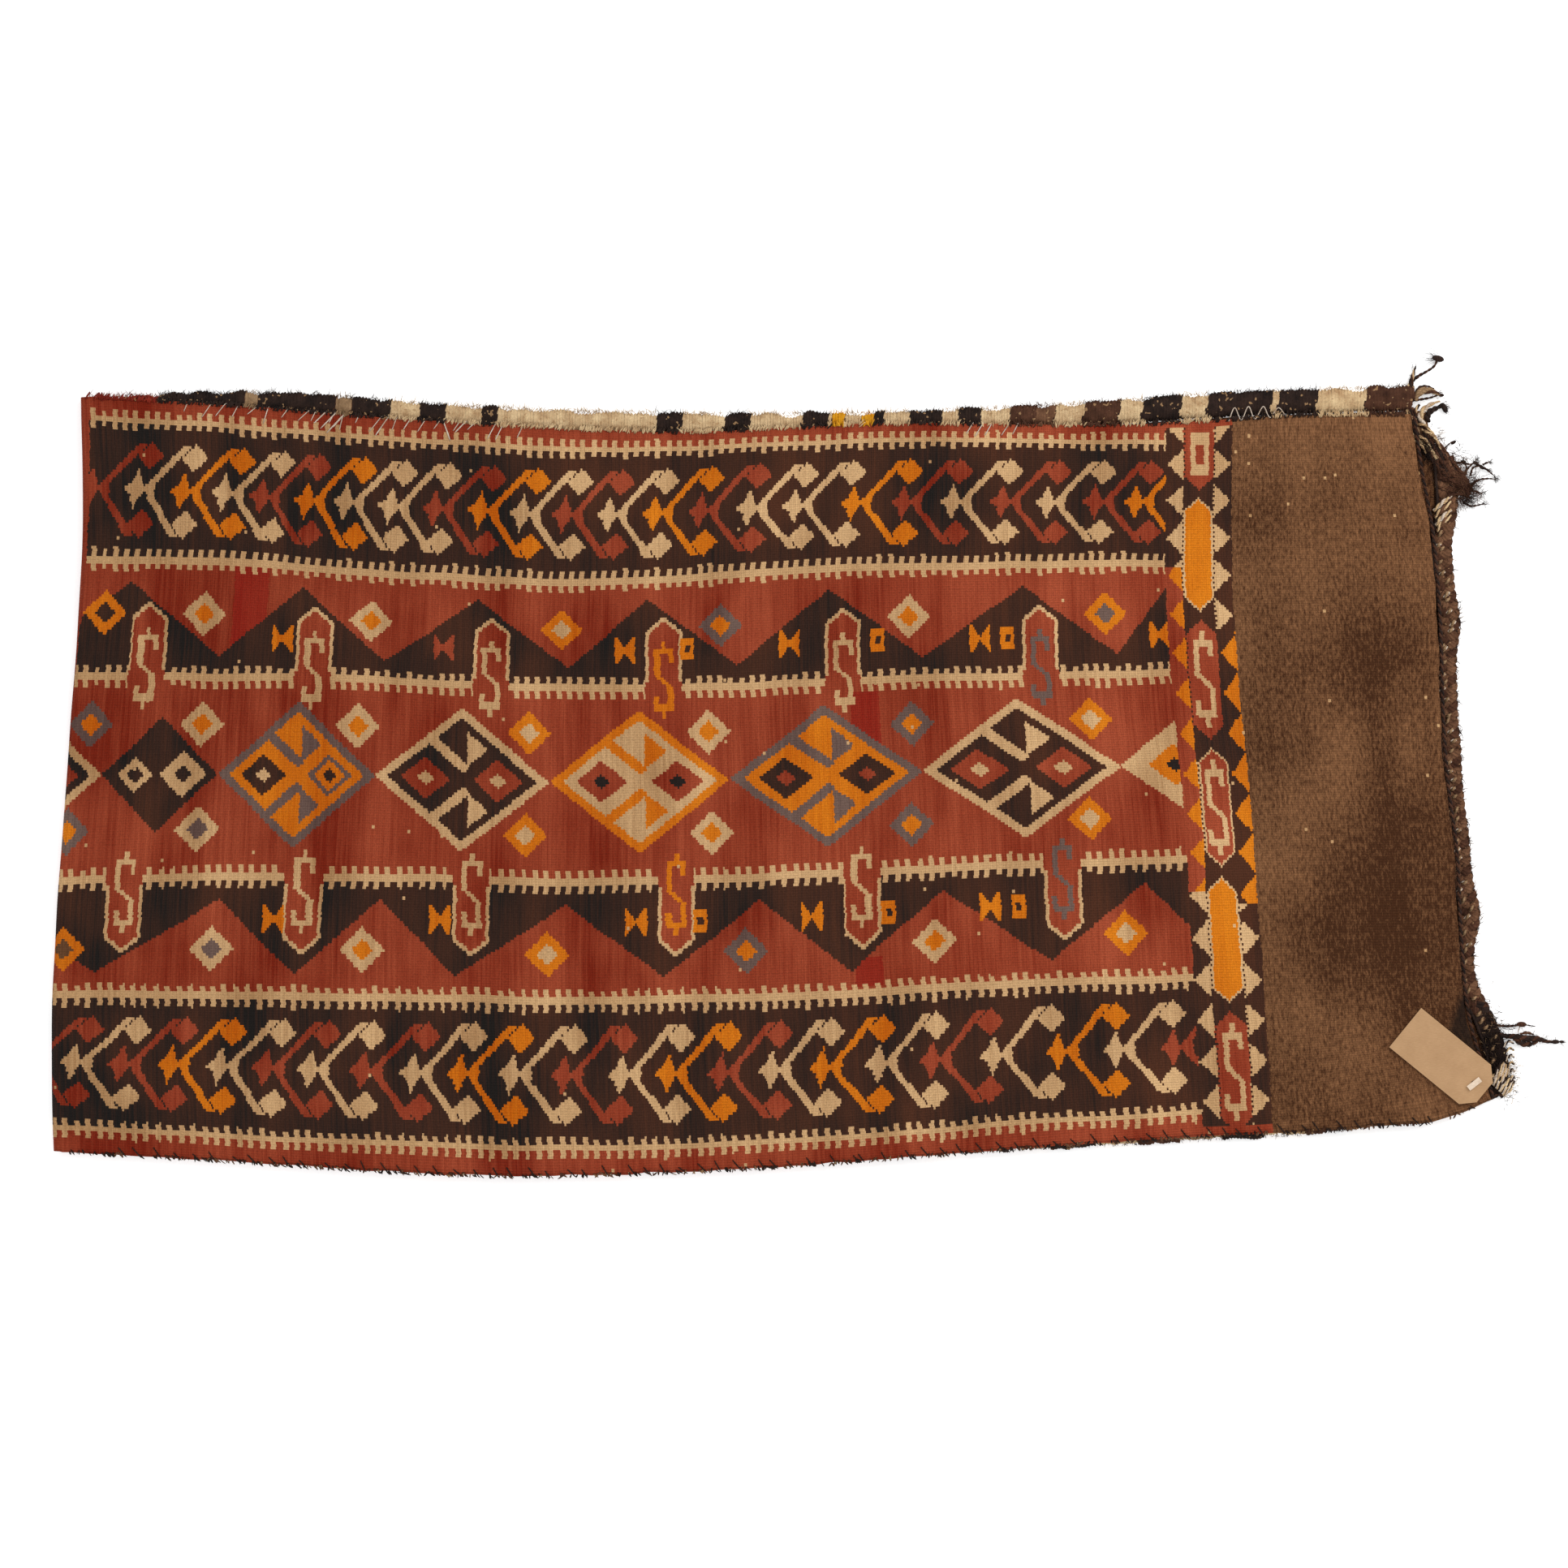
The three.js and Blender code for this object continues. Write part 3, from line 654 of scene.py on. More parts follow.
def mouth_border(m, u, h, a, lower, dye):
    """A column of long hexagons across the cloth, between two rows of triangles."""
    x = u - 926
    k = (h + 299) / 106
    index = k.floor()
    along_hexagon = (k - index - 0.5) * 106
    z = abs(along_hexagon)
    pairs = [(RED, RED), (CREAM, ORANGE), (CREAM, RED), (RED, RED), (CREAM, ORANGE), (RED, RED), (RED, RED)]
    rim, core, _ = m.table([(packed(outer), packed(inner), 0) for outer, inner in pairs], 8, index)
    beyond = abs(x) - 12.6
    wave = (h + 138) / 33
    saw = abs(wave - wave.floor() - 0.5) * 2  # 1 at the middle of each triangle
    body = (beyond < saw * 16 - 2) * float(CREAM - DARK) + float(DARK)
    right = x > 0
    warm = (beyond < saw * 14 - 2) * float(ORANGE - RED) + float(RED)
    body = ((~right) & h.near(32, 133)).choose(body, warm)
    warm = (beyond > saw * -13 + 15) * float(ORANGE - DARK) + float(DARK)
    body = (right & h.near(0, 112)).choose(body, warm)
    edge = abs(x) + (z - 37).math("MAXIMUM", 0.0)
    dark_gap = (abs(x) < 12.6) & (edge > 12.6)
    body = dark_gap.choose(body, float(DARK))
    body = (edge < 12.6).choose(body, unpacked(rim))
    body = (edge < 10.6).choose(body, unpacked(core))
    curl = scroll(x, along_hexagon * 0.82)
    ring = ((abs(x) * 2) | (abs(along_hexagon + 17) * 0.8)).near(11, 4.2)
    body = (((curl & (index < 4.5)) | (ring & (index > 4.5))) & (core < 0.2)).choose(body, float(CREAM))
    body = (abs(x).near(12.8, 0.9) & ((h % 4) < 2)).choose(body, float(DARK))
    return (x.near(0, 27.5)).choose(dye, body)


def kilim_finish():
    """The pattern is a dye number for each point: plain grounds first, then each motif over them."""
    m = Finish("kilim_wool")
    uv = m.add("UVMap", {"uv_map": "cloth"}, {})
    true_u, true_h, _ = m.split(uv, "SeparateXYZ")
    true_u, true_h = true_u * 1000, true_h * 1000

    # Hand weaving wanders a little, then falls into ribs and picks.
    wander_u, wander_h, _ = m.split(m.noise(uv, 16, 1.0, out=1), "SeparateXYZ")
    h = (true_h + wander_h * 4 - 2).math("SNAP", RIB) + RIB / 2
    rib_shift = m.add("TexWhiteNoise", {"noise_dimensions": "1D"}, {"W": h})
    u = (true_u + wander_u * 4 - 2 + rib_shift * 1.2 - 0.6).math("SNAP", WEFT) + WEFT / 2
    lower = h < 0
    a = abs(h)

    # p counts the mountains: whole at each peak, half way between whole numbers at each valley.
    place = part_of_span(u)
    ups = m.add("FloatCurve", {"knots": along((-100, -40, 42, 119, 185, 254, 330, 405, 469, 544, 619, 696,
        780, 856, 902, 950), 0.5)}, {"Value": place})
    downs = m.add("FloatCurve", {"knots": along((-100, -45, 33, 130, 190, 258, 318, 405, 482, 559, 630, 704,
        788, 865, 921, 980), 0.5)}, {"Value": place})
    p = lower.choose(ups, downs) * ROWS
    nearest = (p + 0.5).floor()
    mountain, dye = ground(m, u, h, a, lower, p, (p - nearest) * 144)
    dye = arrows(m, u, h, a, lower, dye)
    valley = ((lower & (a > INNER_LINE)).choose(ups, downs) * ROWS).floor()
    dye = small_diamonds(m, u, a, lower, valley, dye)
    dye = medallions(m, u, h, a, dye)
    dye = toothed_lines(m, u, a, lower, dye)
    dye = tabs(m, u, h, a, lower, nearest, dye)
    dye = mouth_border(m, u, h, a, lower, dye)
    dye = ((u * 28 + 60 < h) | (a > 290)).choose(dye, float(RED))
    plain = (u > 953.5) | (u < -16)
    dye = plain.choose(dye, float(BROWN))
    in_red = dye < 0.5
    specks = m.add("TexWhiteNoise", {"noise_dimensions": "2D"},
        {"Vector": m.vector((true_u / 2.2).floor(), (true_h / 2.6).floor())})
    dye = (specks > 0.9994 - (plain & (h > 195)) * 0.005).choose(dye, float(CREAM))

    # Colour of the wool: streaks along the picks, slow patches, and a lightening towards the mouth that is partly
    # the wool's own fading and partly painted light.
    light = m.add("ValToRGB", {"stops": steps([t[1] for t in DYES], DYE_STEPS)}, {"Fac": packed(dye)})
    deep = m.add("ValToRGB", {"stops": steps([t[0] for t in DYES], DYE_STEPS)}, {"Fac": packed(dye)})
    streak = m.noise(m.vector(true_u * 0.45, true_h * 0.012), 1.0, 3.0, 0.65)
    lots = m.noise(m.vector(true_u * 0.022, true_h * 0.006), 1.0, 2.0, 0.5)
    patches = m.noise(uv, 11, 3.0, 0.6)
    mottle = m.noise(m.vector(true_u * 0.5, true_h * 0.17), 1.0, 3.0, 0.8)
    stain = (~(abs(true_u - 1068) / 125 + abs(true_h + 128) / 165)).math("MAXIMUM", 0.0) * 0.62
    stain = stain + (~(abs(true_u - 1065) / 75 + abs(true_h - 85) / 120)).math("MAXIMUM", 0.0) * 0.4
    corner = (~(abs(true_u - 1116) / 26 + abs(true_h + 224) / 62)).math("MAXIMUM", 0.0)
    far_fade = (true_h - 120).math("MAXIMUM", 0.0) * 0.0012
    # The true_u term lightens the wool towards the mouth: partly fading, partly painted light falling from the
    # mouth's side.
    tone = streak * (1.3 - plain * 0.6) + lots * (1.7 - plain * 1.1) + patches * 1.0 + true_u.math("MAXIMUM",
        0.0) * 0.00035 - 1.72
    tone = tone + plain * (mottle * 2.7 - 0.7 - stain + far_fade)
    colour = m.tint(tone.math("MAXIMUM", 0.0).math("MINIMUM", 1.0), deep, light)
    colour = m.tint((corner * 3.0).math("MINIMUM", 0.85), colour, opaque(linear(26, 18, 14)))
    deep_red = u.near(142, 14) & (a > INNER_LINE) & (a < 166) & (~lower)
    deep_red = in_red & (deep_red | (u.near(648, 12) & (a < 68) & (h > 26)) | (u.near(644, 11) & h.near(-153,
        11)))
    colour = m.tint(deep_red * 0.62, colour, opaque(linear(130, 12, 8)))
    fluff = m.noise(uv, 560, 2.0, 0.7)
    rib = (true_h * (TAU / RIB)).math("COSINE")
    pick = (true_u * (TAU / 1.15)).math("COSINE")
    # The rib and pick terms darken the valleys between the warp ribs and the picks: painted shade. The fluff term
    # is the wool's random tone.
    fluff_and_rib_shade = fluff * 0.7 + rib * 0.05 + pick * 0.05 + 0.65
    colour = m.tint(1.0, colour, m.vector(fluff_and_rib_shade, fluff_and_rib_shade, fluff_and_rib_shade), "MULTIPLY")
    height = rib * 0.4 + pick * 0.25 + fluff * 1.6
    return m.surface(colour, 0.95, height, 0.6, 0.0010, **{"Specular IOR Level": 0.12})


# ---------------------------------------------------------------- finishes of the yarns, the tag and its barb

YARNS = {  # each yarn in two tones; yarns that meet along one strand stand side by side
    "cream": (linear(166, 130, 92), linear(224, 196, 152)),
    "soot": (linear(22, 15, 13), linear(54, 38, 31)),
    "umber": (linear(50, 28, 18), linear(88, 56, 40)),
    "brown": (linear(74, 46, 30), linear(122, 86, 62)),
    "olive": (linear(108, 82, 56), linear(166, 134, 100)),
    "yellow": (linear(190, 122, 8), linear(226, 164, 36)),
    "red": (linear(104, 22, 14), linear(142, 46, 28)),
    "cotton": (linear(168, 142, 118), linear(222, 208, 192)),
}
YARN = {name: packed(i) for i, name in enumerate(YARNS)}


def yarn_finish(name, lay=300.0, plies=2.0, flecks=0.0):
    """Spun yarn: dye from the strand, twist as slanting lines round it, fluff over all, and flecks of cream
    where a piece has them."""
    m = Finish(name)
    dye = m.add("Attribute", {"attribute_name": "dye"}, {}, 2)
    distance, turn, _ = m.split(m.add("UVMap", {"uv_map": "yarn"}, {}), "SeparateXYZ")
    place = m.add("TexCoord", {}, {}, 3)
    twist = ((distance * lay + turn * plies) * TAU).math("COSINE")
    fluff = m.noise(place, 900, 2.0, 0.7)
    tone = (m.noise(place, 110, 3.0, 0.65) * 2.2 - 0.6).math("MAXIMUM", 0.0).math("MINIMUM", 1.0)
    deep = m.add("ValToRGB", {"stops": steps([t[0] for t in YARNS.values()], DYE_STEPS)}, {"Fac": dye})
    light = m.add("ValToRGB", {"stops": steps([t[1] for t in YARNS.values()], DYE_STEPS)}, {"Fac": dye})
    colour = m.tint(tone, deep, light)
    if flecks:
        colour = m.tint((m.noise(place, 260, 1.0, 0.5) > 1 - flecks) * 0.75, colour, opaque(YARNS["cream"][0]))
    shade = twist * 0.10 + fluff * 0.8 + 0.56
    colour = m.tint(1.0, colour, m.vector(shade, shade, shade), "MULTIPLY")
    return m.surface(colour, 0.92, twist * 0.5 + fluff, 0.6, 0.0007, **{"Specular IOR Level": 0.15})


def card_finish():
    """Brown card: long fibres and faint clouding."""
    m = Finish("kraft_card")
    place = m.add("TexCoord", {}, {}, 3)
    fibre = m.noise(m.add("Mapping", {}, {"Vector": place, "Rotation": (0, 0, 0.67),
        "Scale": (300, 1500, 300)}), 1.0, 3.0, 0.6)
    cloud = m.noise(place, 60, 2.0, 0.5)
    colour = m.tint((fibre * 0.7 + cloud * 0.5 - 0.15).math("MAXIMUM", 0.0), opaque(linear(154, 118, 82)),
        opaque(linear(192, 154, 114)))
    return m.surface(colour, 0.8, fibre, 0.15, 0.0002, **{"Specular IOR Level": 0.3})


def nylon_finish():
    """Milky moulded nylon with a soft shine."""
    m = Finish("milky_nylon")
    place = m.add("TexCoord", {}, {}, 3)
    haze = m.noise(place, 400, 1.0, 0.5)
    colour = m.tint(haze, opaque(linear(196, 172, 146)), opaque(linear(232, 212, 190)))
    return m.surface(colour, 0.35, haze, 0.05, 0.0001)


# ---------------------------------------------------------------- the cloth


def cloth_piece():
    """The folded strip as one closed skin. Rows run from the front's mouth to the fold, round it and
    along the back to the back's mouth; columns run from the near seam to the far one."""
    t = np.linspace(0, 1, 133)
    h = NEAR_EDGE + (FAR_EDGE - NEAR_EDGE) * t

    # front
    s = np.linspace(1, 0, 268)
    u = s * LENGTH
    U, H = np.meshgrid(u, h, indexing="ij")
    x, y = cloth_place(U, H)
    wave = 0.8 * ripples(x, 0 * x, 8, 14, 60, 9)
    rim = np.clip(1 - np.minimum(H - NEAR_EDGE, FAR_EDGE - H) / 8, 0, 1)
    y = y + wave * rim * np.sign(H)
    wave = 0.8 * ripples(0 * y, y, 9, 14, 60, 9)
    x = x + wave * np.clip(1 - (LENGTH - U) / 8, 0, 1)
    top = front_top(x, y)
    radius = front_top(FOLD_LINE(y) + 6, y) / 2
    front_outer, front_inner = np.stack([x, y, top], -1), np.stack([x, y, top - CLOTH], -1)
    away = np.clip(U / 30, 0, 1)
    blend = away * away * (3 - 2 * away)
    front_outer[..., 2] = 2 * radius + (top - 2 * radius) * blend
    front_inner[..., 2] = front_outer[..., 2] - CLOTH
    keep = s > 6.5 / LENGTH
    front_outer, front_inner, front_u = front_outer[keep], front_inner[keep], U[keep]

    # fold
    turns = np.linspace(np.pi / 2, 1.5 * np.pi, 13)[:, None]
    x0, y0 = cloth_place(np.full_like(h, 6.0), h)
    r = front_top(x0, y0) / 2
    y0 = np.broadcast_to(y0, (13, len(h)))
    fold_outer = np.stack([x0 + r * np.cos(turns), y0, r + r * np.sin(turns)], -1)
    inner = r - CLOTH
    fold_inner = np.stack([x0 + inner * np.cos(turns), y0, r + inner * np.sin(turns)], -1)
    fold_u = np.broadcast_to(6 - r * (turns - np.pi / 2), (13, len(h)))

    # back
    s = np.linspace(0, 1, 48)[1:, None] ** 1.15
    near, far = lambda v: OUTER_NEAR(v) + RIGHT_CORD_WIDTH + 0.4, lambda v: OUTER_FAR(v) - LEFT_CORD_WIDTH - 0.4
    mouth = lambda v: OUTER_MOUTH(v) - BRAID_WIDTH + 0.4
    y = y0[0][None, :] + 0 * s
    for _ in range(3):
        x = x0 + (mouth(y) - x0) * s
        tuck = np.clip(s * 1110 / 14, 0, 1)
        y = y0[0] + (near(x) + (far(x) - near(x)) * t - y0[0]) * tuck * tuck * (3 - 2 * tuck)
    under = back_under(x, y) * np.clip(s * 20, 0, 1)
    back_outer, back_inner = np.stack([x, y, under], -1), np.stack([x, y, under + CLOTH], -1)
    back_u = -20 - s * LENGTH + 0 * y

    outer = np.concatenate([front_outer, fold_outer, back_outer])
    inner = np.concatenate([front_inner, fold_inner, back_inner])
    points, faces = closed_sheet(outer, inner)
    faces = faces_out(points, faces)
    along_cloth = np.concatenate([front_u, fold_u, back_u])
    uv = np.stack([along_cloth, np.broadcast_to(h, along_cloth.shape)], -1).reshape(-1, 2) / 1000
    return make_mesh("kilim_cloth", points, faces, kilim_finish(), np.concatenate([uv, uv]))


cloth = cloth_piece()
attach(cloth, "root")
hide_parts("bag_back", "bag_fold", "bag_front")

# ---------------------------------------------------------------- side bindings

WRAP = 2.6  # from one turn of the wrapping yarn to the next, mm
# Where each stretch of the far binding ends, and the yarn that wraps it.
FAR_BLOCKS = (
    (-529, "red"), (-458, "soot"), (-448, "olive"), (-385, "soot"), (-373, "olive"), (-342, "soot"),
    (-318, "cream"),
    (-297, "soot"), (-268, "cream"), (-255, "soot"), (-128, "cream"), (-108, "soot"), (-72, "cream"),
    (-53, "soot"),
    (-12, "cream"), (10, "soot"), (13, "cream"), (23, "yellow"), (36, "cream"), (46, "yellow"), (54, "soot"),
    (75, "cream"), (100, "soot"), (115, "cream"), (133, "soot"), (156, "cream"), (176, "umber"), (192, "brown"),
    (215, "cream"), (245, "umber"), (263, "cream"), (294, "soot"), (315, "cream"), (366, "soot"),
    (372, "cream"),
    (403, "soot"), (442, "cream"), (600, "umber"),
)
NEAR_BLOCKS = tuple((-560 + 34 * i, ("cream", "soot", "olive", "umber")[i * 7 % 4]) for i in range(34))


NEAR_EDGING = tuple((-560 + 19 * i, ("soot", "umber", "soot", "brown")[i * 7 % 4]) for i in range(62))


def yarn_at(blocks, x):
    """The yarn number of the block that x lies in."""
    ends, names = [b[0] for b in blocks], [YARN[b[1]] for b in blocks]
    return np.array(names)[np.clip(np.searchsorted(ends, x), 0, len(names) - 1)]


def wrapped_edge(bundle, edge, outward, half, start, end, blocks, seed):
    """A bar of warps wrapped with yarn. Round the bar: an ellipse, half wide and 4 mm high, whose outer
    side swells in clumps. Along the bar: a rounded ridge for each turn of the yarn, leaning as it goes round."""
    stations = int((end - start) / WRAP * 6)
    x = np.linspace(start, end, stations)[:, None]
    turn = TAU * np.arange(20) / 20
    place = x + 1.3 * np.cos(turn)
    wrap = np.floor((place + 2.2 * ripples(place * 0, 40 * np.cos(turn) + 0 * x, seed + 2, 30, 90)) / WRAP)
    ridge = np.abs(np.sin(np.pi * place / WRAP)) ** 0.6
    loose = ripples(wrap * WRAP, 0 * wrap, seed, 4, 11)
    size = 0.82 + 0.12 * ridge + 0.08 * loose
    size[[0, -1]] *= 0.3
    dark = yarn_at(blocks, wrap * WRAP + 1) < YARN["brown"]
    dark &= yarn_at(blocks, wrap * WRAP + 1) > YARN["cream"]
    clump = 1.7 * ripples(place, 0 * place, seed + 1, 7, 34) + 1.5 * dark - 0.7
    out = np.clip(np.cos(turn), 0, 1) ** 2
    y = edge(x) + outward * (half * (size * np.cos(turn) - 1) + clump * out)
    z = np.maximum(4.1 + 3.9 * size * np.sin(turn), 0.02 + 0 * x)
    points = np.stack(np.broadcast_arrays(place, y, z), -1).reshape(-1, 3)
    uv = np.stack(np.broadcast_arrays((turn / TAU) * 0.06, place / WRAP / 2), -1).reshape(-1, 2)
    bundle.skin(points, tube_faces(1, stations, 20), uv, yarn_at(blocks, wrap * WRAP + 1).ravel())


def edge_fuzz(bundle, edge, outward, start, end, count, blocks, longest):
    """Loose hairs that stand out from a bar's outer side, most of them short."""
    x = rng.uniform(start, end, count)
    base = np.stack([x, edge(x) - outward * rng.uniform(0.2, 3.0, count), rng.uniform(1.5, 7.0, count)], -1)
    heading = np.stack([rng.normal(0, 0.9, count), np.full(count, float(outward)),
        rng.normal(0.1, 0.5, count)], -1)
    lengths = 1.6 + (longest - 1.6) * rng.random(count) ** 3
    radii = np.array([0.26, 0.2, 0.14, 0.06]) * rng.uniform(0.7, 1.2, (count, 1))
    bundle.lay(wild_hairs(base, heading, lengths, 0.35, 4), radii, yarn_at(blocks, x), 4)


def overcast(bundle, edge, outward, start, end, count, blocks, reach=5.0):
    """Short thick yarns that come over the front's edge and down on the bar, at all slants."""
    t = np.linspace(0, 1, 6)
    x = rng.uniform(start, end, (count, 1)) + rng.normal(1.2, 2.4, (count, 1)) * t
    reach = -rng.uniform(0.3, 2.6, (count, 1)) * (1 - t) + rng.uniform(0.3 * reach, reach, (count, 1)) * t
    y = edge(x) + outward * reach
    z = front_top(x, edge(x) + outward * np.minimum(reach, -0.3)) + 0.45 - 4.0 * np.clip(reach / 3.5, 0,
        1) ** 1.5
    radii = rng.uniform(0.35, 0.8, (count, 1)) * (1 - 0.7 * np.abs(2 * t - 1) ** 3)
    bundle.lay(np.stack([x, y, z], -1), radii, yarn_at(blocks, x[:, 0]), 4)


def far_binding(finish):
    bar = Bundle()
    wrapped_edge(bar, OUTER_FAR, 1, 10.6, -580, 480, FAR_BLOCKS, 21)
    edge_fuzz(bar, OUTER_FAR, 1, -586, 478, 2000, FAR_BLOCKS, 6.5)
    overcast(bar, FRONT_FAR, 1, -586, 472, 1000, FAR_BLOCKS)
    return bar.piece("far_side_binding", finish, "cream_wool", "left_side_binding")


def near_binding(finish):
    bar = Bundle()
    wrapped_edge(bar, OUTER_NEAR, -1, 6.4, -596, 530, NEAR_BLOCKS, 31)
    edge_fuzz(bar, OUTER_NEAR, -1, -600, 528, 1300, NEAR_EDGING, 2.6)
    overcast(bar, FRONT_NEAR, -1, -600, 528, 500, NEAR_EDGING, 2.8)
    return bar.piece("near_side_binding", finish, "cream_wool", "right_side_binding")


# ---------------------------------------------------------------- mouth braid and cord


def square_to(path):
    """The level axis and the upward axis that stand square to a path."""
    forward = np.gradient(path, axis=0)
    side = np.cross(forward, (1e-4, 2e-4, 1.0))
    side /= np.linalg.norm(side, axis=1, keepdims=True)
    up = np.cross(side, forward)
    return side, up / np.linalg.norm(up, axis=1, keepdims=True)


def reach_of(path):
    return np.concatenate([[0], np.cumsum(np.linalg.norm(np.diff(path, axis=0), axis=1))])


def twisted(path, count, spread, lay, squash=1.0):
    """Yarns that wind about a path: each goes round it once per lay, spread away from it."""
    side, up = square_to(path)
    turn = TAU * (reach_of(path) / lay + np.arange(count)[:, None] / count)
    return path + spread * (np.cos(turn)[..., None] * side + squash * np.sin(turn)[..., None] * up)


def plaited(path, spread, lay, rise):
    """A flat three-strand plait: each strand swings across once per lay, a third of a lay after the
    last one, and passes over and under twice in that time."""
    side, up = square_to(path)
    turn = TAU * (reach_of(path) / lay + np.arange(3)[:, None] / 3)
    return path + spread * np.sin(turn)[..., None] * side + rise * np.sin(2 * turn)[..., None] * up


def mouth_braid(finish):
    """The back's warp ends, plaited flat along its mouth, with broken ends standing off it."""
    braid = Bundle()
    y = np.linspace(-268, 244, 400)
    path = np.stack([OUTER_MOUTH(y) - 9 + 0.6 * ripples(y, 0 * y, 41, 20, 60), y, np.full(400, 2.15)], -1)
    dark = np.clip((-185 - y) / 20, 0, 1)
    yarn = np.array([YARN["brown"], YARN["brown"], YARN["umber"]])[:, None]
    yarn = yarn + (YARN["soot"] - yarn) * dark
    braid.lay(plaited(path, 5.2, 22, 0.7), 3.6, yarn, 12, 0.36)
    # A dark soot strand along the braid's inner side, under the front's edge: painted shade, standing in for the
    # shadow that the front's edge casts on the braid.
    braid.lay(path[None] + (-8.3, 0, 2.0), 1.25, YARN["soot"], 8)
    for name, count in (("umber", 900), ("brown", 260), ("olive", 260), ("soot", 700)):
        y = rng.uniform(-262, 240, count)
        base = np.stack([OUTER_MOUTH(y) - rng.uniform(0.5, 19, count), y, rng.uniform(2.4, 3.2, count)], -1)
        heading = np.stack([rng.normal(0.5, 0.9, count), rng.normal(0, 1, count),
            rng.uniform(-0.05, 0.25, count)], -1)
        radii = np.array([0.34, 0.3, 0.22, 0.1]) * rng.uniform(0.7, 1.2, (count, 1))
        braid.lay(wild_hairs(base, heading, rng.uniform(2, 5.5, count), 0.4, 4), radii, YARN[name], 4)
    for place in np.arange(-240, 196, 8.0) + rng.normal(0, 1.8, 55):  # paler yarns that come up in the plait
        middle = np.array([OUTER_MOUTH(place) - rng.uniform(6.0, 13.5), place, 4.2])
        lean = np.array([2.2, rng.uniform(0.6, 2.6), -0.7])
        shades = ["olive", "brown"] if place < -150 or rng.random() < 0.4 else ["olive", "cotton"]
        lock(braid, [middle - lean * (1, 1, -1), middle, middle + lean], 0.9, 2.1, 1.0, shades, 12)
    return braid.piece("back_braid", finish, "cream_wool", "back_mouth_braid")


def front_cord(finish):
    """Two dark yarns twisted together along the front's mouth. Their dark line is partly the cord's own yarn and
    partly painted shade: it stands in for the shadow that the front's edge casts there.
    """
    cord = Bundle()
    y = np.linspace(-270, 276, 560)
    x = FRONT_MOUTH(y) + 2.5
    path = np.stack([x, y, front_top(x, y) - 1.6], -1)
    # The soot and umber yarns are partly painted shade along the front's edge.
    cord.lay(twisted(path, 2, 0.75, 8), 0.95, [YARN["soot"], YARN["umber"]], 8)
    return cord.piece("front_cord", finish, "goat_hair", "front_mouth_cord")


# ---------------------------------------------------------------- stitches


def stitches(bundle, x, depth, lean, edge, outward, radius, yarn):
    """Whip stitches over the front's edge: each lies on the cloth from depth inside the edge, leans along
    the bag, and bends down over the edge to the binding."""
    t = np.linspace(0, 1, 10)
    x0, depth, lean = (np.asarray(v, float)[:, None] for v in (x, depth, lean))
    along = x0 + lean * t
    inside = depth * (1 - t) - 1.6 * t
    y = edge(along) - outward * inside
    over = front_top(along, edge(along) - outward * np.maximum(inside, 0.6)) + radius * 0.7
    over = over - np.clip((t - 0.78) / 0.22, 0, 1) ** 2 * 3.2
    ends = 1 - 0.45 * np.abs(2 * t - 1) ** 6
    bundle.lay(np.stack([along, y, over], -1), radius * ends, yarn, 6)


def far_stitches(finish):
    thread = Bundle()
    x = np.arange(-503, -238, 12.5)
    x = x + rng.normal(0, 3.0, len(x))
    stitches(thread, x, rng.uniform(5, 13, len(x)), rng.uniform(3, 11, len(x)), FRONT_FAR, 1, 0.4,
        YARN["cotton"])
    x = np.array([-401, -396, -391, -386, -352, -292, -288])  # where the thread was doubled
    stitches(thread, x, [9, 13, 16, 11, 15, 15, 8], [10, 13, 15, 10, 11, -6, 9], FRONT_FAR, 1, 0.55,
        YARN["cotton"])
    x = np.array([121, 128, 136, 149, 158])
    stitches(thread, x, [8, 10, 9, 9, 8], [6, 7, 6, 7, 5], FRONT_FAR, 1, 0.45, YARN["cotton"])
    return thread.piece("far_seam_stitches", finish, "cotton", "left_seam_thread")


def repair_stitch(finish):
    """A zigzag of white thread near the mouth."""
    thread = Bundle()
    corners = np.array([(331, 272), (336, 283), (341, 273), (347, 284), (352, 274), (359, 284), (364, 275),
        (371, 283), (377, 276)])
    path = curved(np.column_stack([corners, np.zeros(9)]), 64)
    low = path[:, 1] < FRONT_FAR(path[:, 0])
    path[:, 2] = np.where(low, front_top(path[:, 0], path[:, 1]) + 0.5, 11.4)
    thread.lay(path, 0.42, YARN["cotton"], 6)
    return thread.piece("far_seam_repair", finish, "cotton", "left_seam_repair_thread")


def near_stitches(finish):
    thread = Bundle()
    x = np.arange(-560, 505, 15.0) + rng.normal(0, 2.5, 71)
    stitches(thread, x, rng.uniform(4, 8, 71), rng.uniform(4, 8, 71), FRONT_NEAR, -1, 0.5, YARN["soot"])
    return thread.piece("near_seam_stitches", finish, "goat_hair", "right_seam_thread")


# ---------------------------------------------------------------- plaits and tufts at the mouth's corners


def lock(bundle, knots, start, middle, tip, yarns, lay=9.0, loose=0.5):
    """A lock of yarns twisted together along a path, thick as start, middle and tip."""
    path = curved(knots, 4 + int(4 * len(knots)) + 12)
    t = np.linspace(0, 1, len(path))
    thick = start + (middle - start) * np.minimum(t * 2, 1) + (tip - middle) * np.clip(t * 2 - 1, 0, 1)
    paths = path + (twisted(path, len(yarns), 1.0, lay, 0.8) - path) * (thick * loose)[:, None]
    paths[..., 2] = np.maximum(paths[..., 2], thick * 0.62)
    bundle.lay(paths, thick * 0.62, [YARN[name] for name in yarns], 8)


def blob(bundle, centre, half, yarn, heading=(1, 0, 0)):
    """A knot: a fat short strand with rounded ends."""
    t = np.linspace(-1, 1, 9)
    heading = np.array(heading, float) / np.linalg.norm(heading)
    path = np.array(centre, float) + heading * (half * 1.25 * t)[:, None]
    bundle.lay(path, half * 0.62 * np.sqrt(1.02 - t * t) + 0.1, YARN[yarn], 8)


